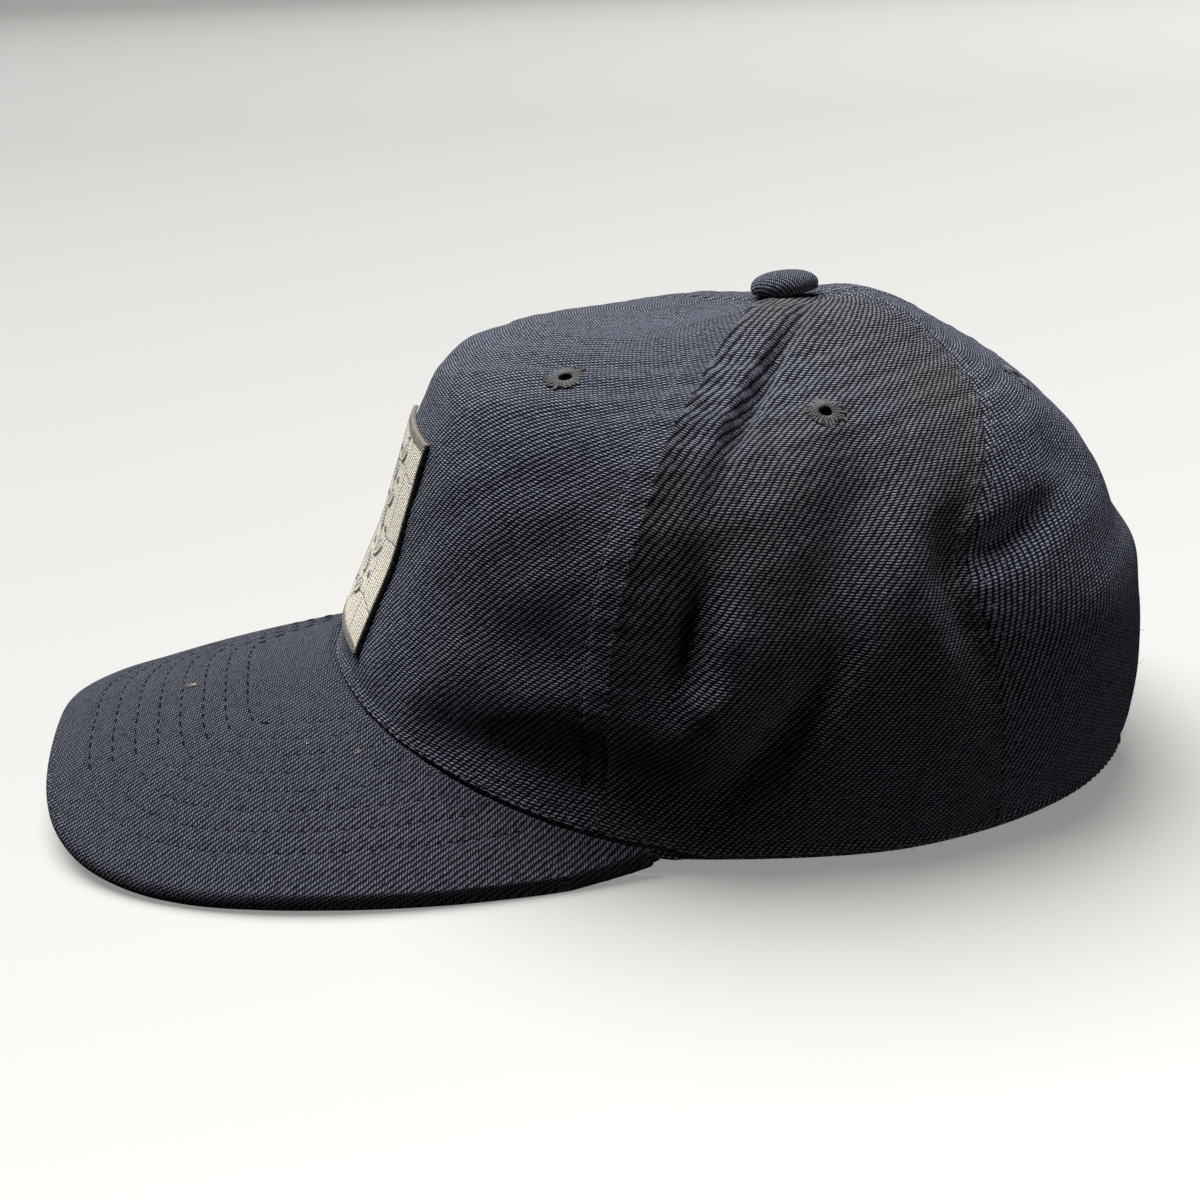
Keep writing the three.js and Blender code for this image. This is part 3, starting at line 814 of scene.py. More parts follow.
# %% Panels with holes, and the way the ribs run
EYELETS = dict(
    front=dict(phi=37.7, t=0.797),
    side=dict(phi=95.4, t=0.785),
    back=dict(phi=159.0, t=0.757),
)
EYELET_HOLE = 1.9
FOLLOW = dict(share=0.6, reach=60, low_t=0.74, fade=0.2)


def rib_coordinates(kind, phi, t, middle, turn):
    """Millimetres across and along the ribs. The panel is laid flat by two lengths, the way up
    from the rim at one azimuth and the way round from the middle at one height, each a sum of
    short steps; then the ribs cross it at an angle of turn degrees. High on the sides they bend
    towards the direction of the front seam."""
    steps = np.linspace(0, 1, 25)
    climb = crown_base(phi[..., None], t[..., None] * steps)
    round_way = crown_base(mix(middle, phi[..., None], steps), t[..., None] + 0 * steps)
    up = run_length(climb, axis=2)[..., -1]
    sideways = run_length(round_way, axis=2)[..., -1] * np.sign(phi - middle)
    along, across = turned(sideways, up, turn)
    if kind == "side":
        lead = across[:, np.argmin(from_front(phi[-1]))]
        start = np.interp(FOLLOW["low_t"], LEVELS, lead)
        drift = (lead - start) * smooth((LEVELS - FOLLOW["low_t"]) / FOLLOW["fade"])
        to_front = np.abs(from_front(phi) - front_seam(t)) * mm_per_degree(front_seam(t), t)
        across = across - FOLLOW["share"] * drift[:, None] * np.exp(-to_front / FOLLOW["reach"])
    return across, along


def sew_panel(name, kind, start_edge, end_edge, width, middle, turn, coarse, wear, eyelets):
    """A crown panel between two edges, given as azimuths for each t. turn is the angle of its
    ribs, coarse how much wider they are than RIB, wear how pale the cloth has become, and eyelets
    the sides that get a hole: 1 for the wearer's left, -1 for the right."""
    shares = column_shares(width)
    t = LEVELS[:, None] * np.ones(len(shares))
    half_gap = SEAM_GAP / 2 / mm_per_degree(end_edge(LEVELS), LEVELS)
    start = (start_edge(LEVELS) + half_gap)[:, None]
    end = (end_edge(LEVELS) - half_gap)[:, None]
    phi = mix(start, end, shares)
    outer, normal = sewn_face(kind, phi, t)
    inner = crown_face(phi, t) - normal * CLOTH
    inner[0, :, 2] = outer[0, :, 2]
    climb = run_length(outer, axis=0)
    fall = rounded(climb, EDGE_RADIUS["rim"])
    if kind == "back":
        to_arch = distance_to(crown_base(phi, t), ARCH_LINE)
        fall = np.maximum(fall, rounded(to_arch, EDGE_RADIUS["arch"]))
    outer -= normal * fall[..., None]
    inner += normal * fall[..., None]
    keep = all_cells(outer)
    for sign in eyelets:
        at = (np.array(sign * EYELETS[kind]["phi"]), np.array(EYELETS[kind]["t"]))
        open_hole(outer, inner, keep, crown_face(*at), normal_of(crown_face, *at), EYELET_HOLE)
    across, along = rib_coordinates(kind, phi, t, middle, turn)
    weave = np.stack([across / coarse, along / coarse, np.full_like(across, wear)], -1)
    piece = new_piece(f"{name}_cloth", *shell(outer, inner, keep), cloth, [weave, weave])
    dress(piece, "cloth", name)
    flat = run_length(outer, axis=1)[:, -1].max(), climb[-1].max()
    print(f"{name}: flat sheet {flat[0]:.0f} by {flat[1]:.0f} mm")


def mirrored(edge):
    """The same edge on the wearer's right."""
    return lambda t: -edge(t)


# %% Sew the five panels
sew_panel(
    "crown_front", "front", mirrored(front_seam), front_seam,
    width=190, middle=0, turn=57, coarse=1.05, wear=0.3, eyelets=(1, -1),
)  # fmt: skip
for kind, first, last, width, middle, turn, coarse, wear in (
    ("side", front_seam, back_seam, 80, 88, 50, 1.0, 1.5),
    ("back", back_seam, arch_edge, 100, 145, 62, 1.16, 0.1),
):
    cut = dict(width=width, turn=turn, coarse=coarse, wear=wear)
    sew_panel(f"crown_{kind}_left", kind, first, last, middle=middle, eyelets=(1,), **cut)
    edges = mirrored(last), mirrored(first)
    sew_panel(f"crown_{kind}_right", kind, *edges, middle=-middle, eyelets=(-1,), **cut)

# %% [markdown]
# The peak is a stiff board covered in the same cloth. Its outline is a superellipse from one end
# of the joint round the tip to the other. The section runs along the top face, round the rolled
# edge and back below, so the piece is a closed profile carried along the outline.

# %% Outline and section of the peak
JOINT_CLEAR = dict(front=0.6, more_aside=1.1)
CROWDING = 1.7


def peak_edge(u):
    """x and y of the outline, u from -1 to 1: powers of sine and cosine of u times 90 degrees,
    flared a little where the edge is half way to the tip."""
    end_x, end_y = plan(np.array(PEAK["end_angle"]), np.array(0.0))
    a = u * math.pi / 2
    power = 2 / PEAK["squareness"]
    across = np.sign(np.sin(a)) * np.abs(np.sin(a)) ** power
    ahead = np.abs(np.cos(a)) ** power
    flare = 1 + PEAK["flare"] * np.sin(math.pi * ahead)
    x = (end_x + PEAK["overhang"]) * across * flare
    return np.stack([x, mix(end_y, PEAK["tip_y"], ahead)], -1)


def peak_joint(u):
    """x and y of the joint, just outside the crown's rim at u times the end angle."""
    phi = u * PEAK["end_angle"]
    flat = unit(normal_of(crown_base, phi, np.zeros_like(phi))[..., :2])
    clear = JOINT_CLEAR["front"] + JOINT_CLEAR["more_aside"] * np.sin(np.radians(phi)) ** 2
    return np.stack(plan(phi, np.zeros_like(phi)), -1) + flat * clear[..., None]


def even_stations(step):
    """Values of u that are even steps apart along the outline. They are looked up among trial
    values that crowd in the middle, where the outline runs fastest."""
    share = np.linspace(-1, 1, 8001)
    u = np.sign(share) * np.abs(share) ** CROWDING * PEAK["cut_back"]
    run = run_length(peak_edge(u))
    return np.interp(np.linspace(0, run[-1], round(run[-1] / step)), run, u)


EDGE_LINE = peak_edge(even_stations(0.5))
JOINT_LINE = peak_joint(np.linspace(-1, 1, 400))
FIRST_ROW = 10.4
ROW_PITCH = 5.4
PEAK_ROWS = 8
TIP_ROWS = dict(y=-100, x=28, fade=30)
GROOVE = dict(depth=0.2, tip_depth=0.25, width=0.65)


def peak_relief(spot):
    """Grooves of the rows of stitches, each at its own distance from the outline and deeper at the
    tip, slight waves, and the bank of cloth along the joint."""
    x, y = spot[..., 0], spot[..., 1]
    inset = distance_to(spot, EDGE_LINE)
    total = 0.6 * ripples(x, y)
    ahead = smooth((TIP_ROWS["y"] - y) / TIP_ROWS["fade"])
    aside = smooth((TIP_ROWS["x"] - x) / TIP_ROWS["fade"])
    depth = GROOVE["depth"] + GROOVE["tip_depth"] * ahead * aside
    for row in range(PEAK_ROWS):
        total = total - depth * bell(inset, FIRST_ROW + row * ROW_PITCH, GROOVE["width"])
    return total + BANK["height"] * np.exp(-distance_to(spot, JOINT_LINE) / BANK["reach"])


PEAK_STEP = 1.0
ROLL_STEPS = 8
REACH_STEPS = 84
TUCK = 1.3
UNDERSIDE_RELIEF = 0.4
PEAK_WEAVE = dict(angle=28, wear=0.35, drop=3)


def build_peak():
    """Rows go from the joint, where the cloth is tucked a little way under the crown's, to the
    start of the nose on top, round half an ellipse, and back to the joint below."""
    u = even_stations(PEAK_STEP)
    joint, edge = peak_joint(u), peak_edge(u)
    length = np.linalg.norm(edge - joint, axis=-1)
    nose = PEAK["nose"] + 0.3
    reach = np.linspace(0, 1, REACH_STEPS)
    turn = np.linspace(0, math.pi, ROLL_STEPS + 2)[1:-1]
    out = np.concatenate([reach, np.ones(ROLL_STEPS), reach[::-1]])
    ahead = np.concatenate([0 * reach, np.sin(turn), 0 * reach])
    drop = np.concatenate([0 * reach, (1 - np.cos(turn)) / 2, 1 + 0 * reach])
    below = drop > 0.5
    forward = out * (length - nose + TUCK)[:, None] - TUCK
    share = (forward + ahead * nose) / length[:, None]
    spot = joint[:, None] + (edge - joint)[:, None] * share[..., None]
    x, y = spot[..., 0], spot[..., 1]
    relief = peak_relief(spot) * np.where(below, UNDERSIDE_RELIEF, 1.0)
    corner = rounded(np.maximum(forward, 0), np.where(below, 1.0, 2.0))
    relief = relief - np.where(below, -1, 1) * corner
    z = peak_top(x, y) - drop * PEAK["thick"] + relief
    points = np.stack([x, y, z], -1)
    across, along = turned(x, y, PEAK_WEAVE["angle"])
    across = across + ahead + PEAK_WEAVE["drop"] * drop
    weave = np.stack([across, along, np.full_like(across, PEAK_WEAVE["wear"])], -1)
    faces = capped_tube(points.shape[1], points.shape[0])
    dress(new_piece("peak_cloth", points, faces, peak_cloth, weave), "cloth", "peak")


build_peak()

# %% [markdown]
# A button covered in the same cloth hides the place where the panels meet. It is a dome on a ring:
# the profile from the middle of the top to the middle of the base turns about an axis that leans
# with the crown. The cloth is gathered under its edge, so small pleats run up from there.

# %% Covered button
BUTTON = dict(radius=8.2, height=4.9, tilt=5, lean=3, seat=1.6, spokes=96)
PLEATS = dict(count=11, depth=0.018)
BUTTON_WEAVE = dict(size=1.25, turn=0.6, wear=0.4)
BUTTON_PROFILE = table(
    "t reach height",
    (0.00, 0.00, 1.00),
    (0.20, 0.34, 0.98),
    (0.40, 0.64, 0.89),
    (0.58, 0.87, 0.70),
    (0.72, 0.985, 0.45),
    (0.83, 0.99, 0.20),
    (0.90, 0.88, 0.03),
    (1.00, 0.00, 0.00),
)


def build_button():
    """Rings of corners round the leaning axis, with one corner more at the top and the base. The
    weave is laid over the dome by the way down from the top."""
    s = np.linspace(0, 1, 40)[1:-1]
    angle = full_turn(BUTTON["spokes"])
    reach = through(BUTTON_PROFILE, "reach")(s) * BUTTON["radius"]
    height = through(BUTTON_PROFILE, "height")(s) * BUTTON["height"]
    slack = smooth((s - 0.45) / 0.4) * (s < 0.92)
    wave = np.sin(PLEATS["count"] * angle + 2 * np.sin(3 * angle))
    pleat = 1 + PLEATS["depth"] * slack[:, None] * wave
    tilt = math.radians(BUTTON["tilt"])
    side = [np.sin(angle), np.cos(angle) * math.cos(tilt), np.cos(angle) * math.sin(tilt)]
    lean = np.array(Matrix.Rotation(math.radians(-BUTTON["lean"]), 3, "Y"))
    side = np.stack(side, -1) @ lean.T
    axis = lean @ [0, -math.sin(tilt), math.cos(tilt)]
    foot = crown_base(np.array(0.0), np.array(1.0)) + [0, 0, BUTTON["seat"]]
    body = foot + side * (reach[:, None] * pleat)[..., None] + axis * height[:, None, None]
    ends = np.stack([foot + axis * BUTTON["height"], foot])
    points = np.concatenate([body.reshape(-1, 3), ends])
    run = BUTTON_WEAVE["size"] * (run_length(body[:, 0]) + reach[0])[:, None]
    heading = angle + BUTTON_WEAVE["turn"]
    wear = BUTTON_WEAVE["wear"]
    flat = np.stack([run * np.cos(heading), run * np.sin(heading), wear + 0 * run * angle], -1)
    weave = np.concatenate([flat.reshape(-1, 3), [[0, 0, wear], [0, 0, wear]]])
    rows, columns = body.shape[:2]
    quads = ring_quads(columns, rows)[:, INSIDE_OUT]
    j = np.arange(columns)
    n = (j + 1) % columns
    top, base, last = rows * columns, rows * columns + 1, (rows - 1) * columns
    fans = [np.stack([0 * j + top, n, j], -1), np.stack([0 * j + base, last + j, last + n], -1)]
    piece = new_piece("top_button_cloth", points, quads, cloth, weave, np.concatenate(fans))
    dress(piece, "cloth", "top_button")


build_button()

# %% [markdown]
# Each eyelet is a hole whose edge is wrapped with thread. A Torus could stand for it, but the wrap
# is what one sees, so the ring's section swells and shrinks once for each turn of thread, and its
# outer edge is a little uneven. The ring lies on the curved cloth, point by point.

# %% Thread material and eyelets
WRAP = dict(sway=1.2, rise=0.9, fall=-0.28, contrast=1.1, dark=-0.05, fuzz=1.2)


def thread_material(name, colour, pale, sheen):
    """Dyed thread: fine noise stands for its fibres."""
    material, tree, shader = start_material(
        name, roughness=0.9, sheen_weight=sheen, specular_ior_level=sheen
    )
    fibres = noise(tree, 5200, 3.0)
    paint(tree, shader, blend_colours(tree, fibres, colour, pale), fibres, 0.0002)
    return material


dark_thread = thread_material(
    "dark_thread", (0.003, 0.003, 0.005, 1), (0.016, 0.016, 0.020, 1), sheen=0.0
)
seam_thread = thread_material(
    "seam_thread", (0.05, 0.052, 0.06, 1), (0.24, 0.24, 0.24, 1), sheen=0.2
)


def wrapped_thread(name, gap, pale, worn):
    """Thread wound side by side: the weave attribute counts the turns, so a cosine of it is the
    ridge of each thread, dark in the gaps and further out; noise greys some of the threads."""
    material, tree, shader = start_material(name, roughness=0.8, sheen_weight=0.3)
    step = arithmetic(tree)
    turns, reach, _ = weave_parts(tree)
    turns = step("MULTIPLY_ADD", noise(tree, 600, 1.0), WRAP["sway"], turns)
    ridge = step("COSINE", step("MULTIPLY", turns, 2 * math.pi))
    ridge = step("MULTIPLY_ADD", reach, WRAP["fall"], step("ADD", ridge, WRAP["rise"]))
    ridge = step("MULTIPLY_ADD", ridge, WRAP["contrast"], WRAP["dark"])
    ridge = step("SUBTRACT", ridge, WRAP["fuzz"] / 2)
    ridge = step("MULTIPLY_ADD", noise(tree, 3000, 3.0), WRAP["fuzz"], ridge)
    thread = blend_colours(tree, noise(tree, 900, 3.0), pale, worn)
    paint(tree, shader, blend_colours(tree, held(tree, ridge), gap, thread), ridge, 0.0003)
    return material


eyelet_thread = wrapped_thread(
    "eyelet_thread",
    gap=(0.004, 0.004, 0.004, 1),
    pale=(0.22, 0.215, 0.16, 1),
    worn=(0.035, 0.034, 0.028, 1),
)
EYELET = dict(
    outer=4.4, inner=1.45, height=0.7, foot=0.35, lift=0.05, threads=26, ridge=0.12, uneven=0.8,
    slope=0.35, slope_turn=2.4,
)  # fmt: skip
THREAD_POINTS = 8
SECTION_POINTS = 14
chance = np.random.default_rng(11)


def build_eyelet(place, word, phi, t):
    """Angle runs round the hole and the section round the ring: half an ellipse above the cloth
    and a shallow one below it. Ridges follow the cosine of the angle times the thread count."""
    angle = full_turn(EYELET["threads"] * THREAD_POINTS)
    section = full_turn(SECTION_POINTS)
    half = (EYELET["outer"] - EYELET["inner"]) / 2
    middle = (EYELET["outer"] + EYELET["inner"]) / 2
    ridge = 1 + EYELET["ridge"] * np.cos(angle * EYELET["threads"])
    uneven = np.repeat(chance.uniform(-1.0, 0.9, EYELET["threads"]), THREAD_POINTS)
    reach = middle + half * np.cos(section) * np.ones((len(angle), 1))
    reach = reach + (uneven * EYELET["uneven"])[:, None] * np.clip(np.cos(section), 0, 1)
    height = np.where(np.sin(section) > 0, EYELET["height"], EYELET["foot"]) * np.sin(section)
    slope = 1 - EYELET["slope"] + EYELET["slope"] * np.cos(section + EYELET["slope_turn"])
    height = height * ridge[:, None] * slope + EYELET["lift"]
    at = np.array(phi), np.array(t)
    spot_phi = phi + reach * np.cos(angle)[:, None] / mm_per_degree(*at)
    spot_t = t + reach * np.sin(angle)[:, None] / mm_per_t(*at)
    normal = normal_of(crown_face, spot_phi, spot_t)
    points = crown_face(spot_phi, spot_t) + normal * height[..., None]
    turns = angle[:, None] * EYELET["threads"] / (2 * math.pi)
    weave = np.stack(np.broadcast_arrays(turns, reach, 0.0), -1)
    faces = ring_quads(len(section), len(angle), closed=True)
    name = f"eyelet_{place}_{word}"
    dress(new_piece(f"{name}_threads", points, faces, eyelet_thread, weave), "thread", name)


for word, sign in (("left", 1), ("right", -1)):
    for place, spot in EYELETS.items():
        build_eyelet(place, word, sign * spot["phi"], spot["t"])

# %% [markdown]
# Stitches are what tells that a cap is sewn. Each is a short bead of thread that rises out of the
# cloth and dives back in. One formula bends and places all the beads of a row at once, along a
# line of points and its outward directions, and all rows of a piece join into one mesh.

# %% Rows of stitches
SECTIONS = 4
SIDES = 5
ARCH_MM_PER_DEGREE = 1.75
UNEVEN = 0.08
SEAM_FROM, SEAM_TO, MIDDLE_FROM = 0.03, 0.94, 0.45
BEAD_ENDS = dict(past=0.4, thick=0.55, depth=-0.9, middle_lift=0.35)
SEAM_STITCHES = dict(pitch=2.9, length=2.4, radius=0.17)
RIM_STITCHES = dict(pitch=2.6, length=2.1, radius=0.17)
RIM_ENDS = dict(front=61.0, side=115.0, back=150.0)
PEAK_STITCHES = dict(
    tip=dict(pitch=4.6, length=3.9, radius=0.25),
    far=dict(pitch=3.6, length=2.6, radius=0.18),
    near=dict(pitch=2.9, length=1.7, radius=0.14),
)


def stitch_row(line, outward, pitch, length, radius):
    """Beads along a line: station s is the middle of a bead plus a share of its length, the
    thread is thinner and deeper at the two ends, and its ring is square to the line."""
    run = run_length(line)
    count = max(int(run[-1] / pitch), 1)
    middle = (np.arange(count) + 0.5) * pitch + chance.uniform(-UNEVEN, UNEVEN, count) * pitch
    share = np.linspace(-0.5, 0.5, SECTIONS)
    station = middle[:, None] + length * share

    def along(values):
        return np.stack([np.interp(station, run, values[:, k]) for k in range(3)], -1)

    spine, up = along(line), unit(along(outward))
    ahead = unit(np.gradient(spine, axis=1))
    across = np.cross(ahead, up)
    at_end = np.abs(share) > BEAD_ENDS["past"]
    thick = radius * np.where(at_end, BEAD_ENDS["thick"], 1.0)
    lift = radius * np.where(at_end, BEAD_ENDS["depth"], BEAD_ENDS["middle_lift"])
    centre = spine + up * lift[:, None]
    return centre[:, :, None] + spokes(across, up, full_turn(SIDES)) * thick[:, None, None]


def join_beads(name, rows, material):
    """All beads as one mesh: quads between the rings, and a fan of triangles over each end."""
    beads = np.concatenate(rows)
    size = SECTIONS * SIDES
    start = (np.arange(len(beads)) * size)[:, None, None]
    quads = ring_quads(SIDES, SECTIONS)
    k = np.arange(1, SIDES - 1)
    first = np.stack([0 * k, k, k + 1], -1)
    fans = np.concatenate([first, first[:, ::-1] + size - SIDES])
    return new_piece(name, beads, quads + start, material, triangles=fans + start)


def seam_line(kind, edge, shift, low=SEAM_FROM):
    """Points and directions beside a seam, shift mm from it."""
    t = np.linspace(low, SEAM_TO, 400)
    phi = edge(t) + shift / mm_per_degree(edge(t), t)
    return sewn_face(kind, phi, t)


def rim_line(kind, start, end, height):
    """Points and directions along the rim, at a height over the cloth that banks up on it."""
    phi = np.linspace(start, end, 400)
    t = (height + joint_height(phi)) / mm_per_t(phi, np.full_like(phi, 0.02))
    return sewn_face(kind, phi, t)


def arch_stitch_line(side):
    """The arch's edge moved outwards from the opening, in azimuth and height together."""
    turn = np.linspace(0, 1, 300)
    wide = ARCH["half_angle"] + ARCH_STITCH / ARCH_MM_PER_DEGREE
    tall = ARCH["top_t"] + ARCH_STITCH / mm_per_t(np.array(180.0), np.array(ARCH["top_t"]))
    t = tall * squarish(turn)
    phi = side * (180 - wide * turn)
    keep = t > 0.02
    return sewn_face("back", phi[keep], t[keep])


def crown_rows():
    """Every row of stitches on the crown, on both sides."""
    rows = []
    for side in (1, -1):
        seams = [
            seam_line("front", lambda t: side * front_seam(t), -side * WELT["width"]),
            seam_line("side", lambda t: side * back_seam(t), -side * SEAM_STITCH),
            seam_line("back", lambda t: side * back_seam(t), side * SEAM_STITCH),
            seam_line("back", lambda t: side * (180 + 0 * t), -side * SEAM_STITCH, MIDDLE_FROM),
        ]
        front, back = RIM_ENDS["front"], RIM_ENDS["side"]
        rims = [
            rim_line("front", 0, side * front, HEM_STITCH),
            rim_line("side", side * (front + 2), side * back, HEM_STITCH),
            rim_line("back", side * (back + 3), side * RIM_ENDS["back"], HEM_STITCH),
            arch_stitch_line(side),
        ]
        rows += [stitch_row(*line, **SEAM_STITCHES) for line in seams]
        rows += [stitch_row(*line, **RIM_STITCHES) for line in rims]
    return rows


dress(join_beads("crown_stitching", crown_rows(), seam_thread), "thread")


def peak_rows():
    """Rows of stitches on the peak: the outline moved inwards by each row's distance, without
    the points that come nearer to another part of the outline or to the joint. The stitches are
    stronger at the tip, and on the far side stronger than on the near one."""
    rows = []
    step = np.gradient(EDGE_LINE, axis=0)
    inward = unit(np.stack([-step[:, 1], step[:, 0]], -1))
    for row in range(PEAK_ROWS):
        inset = FIRST_ROW + row * ROW_PITCH
        spot = EDGE_LINE + inward * inset
        kept = distance_to(spot, EDGE_LINE) > inset - 0.2
        kept &= distance_to(spot, JOINT_LINE) > 2.0
        front_y, back_y = profile["front_y"](0.0), profile["back_y"](0.0)
        ahead = (spot[:, 1] - back_y / 2 - front_y / 2) / ((back_y - front_y) / 2)
        kept &= (spot[:, 0] / profile["side_x"](0.0)) ** 2 + ahead**2 > 1.0
        spot = spot[kept]
        x, y = spot.T
        line = np.stack([x, y, peak_top(x, y) + peak_relief(spot)], -1)
        outward = unit(np.broadcast_to([0, -PEAK["slope"], 1.0], line.shape))
        tip = (y < TIP_ROWS["y"]) & (x < TIP_ROWS["x"])
        for name, part in dict(tip=tip, far=~tip & (x < 0), near=~tip & (x > 0)).items():
            if part.sum() > 5:
                rows.append(stitch_row(line[part], outward[part], **PEAK_STITCHES[name]))
    return rows


dress(join_beads("peak_stitching", peak_rows(), dark_thread), "thread")

# %% [markdown]
# A worn cap carries lint: a few pale tufts on the peak, and short loose hairs of yarn along the
# seams, the hem and the back. Each hair is a curved tube as thin as a few fibres, and starts just
# inside the cloth, so it seems to grow out of it.

# %% Lint and loose hairs
TUFTS = table(
    "x y size count radius",
    (-2.0, -136.5, 1.0, 16, 0.10),
    (38.5, -109.0, 0.25, 4, 0.12),
    (45.0, -98.0, 1.1, 7, 0.035),
    (35.0, -139.0, 2.6, 1, 0.05),
    (-29.0, -120.5, 0.3, 1, 0.05),
)
HAIRS = table(
    "kind phi t count length",
    ("back", (140, 172), (0.06, 0.36), 34, 2.2),
    ("back", (118, 150), (0.02, 0.08), 34, 1.6),
    ("side", (66, 112), (0.01, 0.05), 70, 1.6),
    ("front", (18, 60), (0.02, 0.07), 70, 1.5),
    ("side", (70, 90), (0.25, 0.72), 60, 1.8),
)
HAIR = dict(radius=0.045, root=0.15, outwards=0.45, anyhow=0.6, bend=0.5)
lint_thread = thread_material("lint", (0.40, 0.37, 0.24, 1), (0.75, 0.71, 0.52, 1), sheen=0.2)
ANY_SLANT = np.array([0.31, 0.52, 0.79])


def curved_hairs(start, lean, bend, radius):
    """The spine is the start plus the lean times a share plus the bend times its square; rings
    stand square to it and shrink to half the radius at the tip."""
    share = np.linspace(0, 1, SECTIONS)[:, None]
    spine = start[:, None] + lean[:, None] * share + bend[:, None] * share**2
    ahead = unit(np.gradient(spine, axis=1))
    aside = unit(np.cross(ahead, ANY_SLANT))
    ring = spokes(aside, np.cross(aside, ahead), full_turn(SIDES))
    return spine[:, :, None] + ring * (radius * (1 - 0.5 * share))[:, :, None]


def peak_lint():
    """Fibres of a tuft lie on the peak's cloth, in every direction round the tuft's middle."""
    rows = []
    for tuft in TUFTS:
        count, size = tuft["count"], tuft["size"]
        spot = np.array([tuft["x"], tuft["y"]]) + chance.normal(0, 0.35 * size, (count, 2))
        z = peak_top(spot[:, 0], spot[:, 1]) + peak_relief(spot) + 0.25
        turn = chance.uniform(0, 2 * math.pi, count)
        lean = size * np.stack([np.cos(turn), np.sin(turn), 0.1 + 0 * turn], -1)
        aside = size * np.stack([-np.sin(turn), np.cos(turn), -0.2 + 0 * turn], -1)
        bend = aside * chance.uniform(-0.6, 0.6, (count, 1))
        place = np.concatenate([spot, z[:, None]], -1)
        rows.append(curved_hairs(place, lean, bend, tuft["radius"]))
    return rows


def crown_hairs():
    """Hairs leave the cloth at random, mostly outwards, and bend towards one side."""
    rows = []
    for side in (1, -1):
        for patch in HAIRS:
            phi = chance.uniform(*patch["phi"], patch["count"])
            t = chance.uniform(*patch["t"], patch["count"])
            spot, outward = sewn_face(patch["kind"], side * phi, t)
            length = patch["length"] * chance.uniform(0.3, 1.0, (len(phi), 1))
            anyhow = unit(chance.normal(0, 1, spot.shape))
            lean = length * (HAIR["outwards"] * outward + HAIR["anyhow"] * anyhow)
            bend = length * HAIR["bend"] * chance.normal(0, 1, spot.shape)
            bend = bend + np.clip(-(bend * outward).sum(-1, keepdims=True), 0, None) * outward
            rows.append(curved_hairs(spot - HAIR["root"] * outward, lean, bend, HAIR["radius"]))
    return rows


dress(join_beads("peak_lint", peak_lint(), lint_thread), "thread")
dress(join_beads("crown_hairs", crown_hairs(), seam_thread), "thread")

# %% [markdown]
# Inside the rim lies the sweatband, a strip of plain woven cloth. It follows the crown's inside at
# a small depth, so its two faces are the crown's own formula again, and its edges are rounded.

# %% Sweatband
BAND = dict(thick=1.2, end_angle=144, seat=0.95, low_t=0.012, high_t=0.245, round_share=0.02)
CHECK_STEP = 0.6
BAND_MM_PER_RADIAN = 90


def plain_weave(name, colour, pale):
    """Plain woven cloth: a fine check of two sines of the weave attribute."""
    material, tree, shader = start_material(name, roughness=0.9, sheen_weight=0.2)
    across, along, _ = weave_parts(tree)
    step = arithmetic(tree)
    turn = 2 * math.pi / CHECK_STEP
    warp = step("SINE", step("MULTIPLY", across, turn))
    weft = step("SINE", step("MULTIPLY", along, turn))
    height = step("MULTIPLY_ADD", step("MULTIPLY", warp, weft), 0.5, 0.5)
    paint(tree, shader, blend_colours(tree, height, colour, pale), height, 0.0002)
    return material


def inside_crown(phi, t, depth):
    """A point below the crown's outer face, level with the rim at the rim itself."""
    return crown_face(phi, t) - normal_of(crown_face, phi, t) * np.asarray(depth)[..., None]


def build_band():
    """Section: up the outer face, over the top edge, down the inner face and round the bottom
    edge. It is carried round the crown from one end of the arch to the other."""
    phi = np.linspace(-BAND["end_angle"], BAND["end_angle"], 330)[:, None]
    rise = np.linspace(0, 1, 28)
    spare = BAND["round_share"]
    over = 2 * np.clip(np.abs(rise - 0.5) - (0.5 - spare), 0, spare) / (2 * spare)
    edge = 0.5 - 0.5 * np.sqrt(1 - over**2)
    near = CLOTH + BAND["seat"]
    depth = [near + edge * BAND["thick"], near + (1 - edge[::-1]) * BAND["thick"]]
    t = mix(BAND["low_t"], BAND["high_t"], np.concatenate([rise, rise[::-1]]))
    phi, t, depth = np.broadcast_arrays(phi, t, np.concatenate(depth))
    points = inside_crown(phi, t, depth)
    weave = np.stack([np.radians(phi) * BAND_MM_PER_RADIAN, t * CLIMB, 0 * t], -1)
    faces = capped_tube(points.shape[1], points.shape[0])
    dress(new_piece("sweatband_cloth", points, faces, band_cloth, weave), "band", "sweatband")


band_cloth = plain_weave("band_cloth", (0.006, 0.007, 0.01, 1), (0.028, 0.03, 0.038, 1))
build_band()

# %% [markdown]
# The front patch is a small plate of embroidery: a cream field of satin stitches, a taupe border
# sewn across its edge, thin brown lines and a darker sprig of leaves. The pattern is made of
# distances, to lines and to leaf-shaped ovals, so it can be drawn at any size. It gives both the
# relief and two masks that the material reads.

# %% Pattern of the patch
PATCH = dict(
    half_width=18.5, low_t=0.11, high_t=0.605, height=1.15, border=2.1, side_border=0.5,
    columns=122, rows=218, edge=0.35, clear=0.15,
)  # fmt: skip
LINES = dict(level=(11.0, 27.5, 44.0), upright=(-7.5, 8.5), width=0.28)
STEM = dict(foot=(-4.0, 6.0), head=(5.0, 60.0), sway=3.6, thick=0.45)
LEAVES = dict(count=9, length=7.0, width=2.1, turn=52)
BERRY = dict(radius=1.25, aside=5.2, above=1.5)


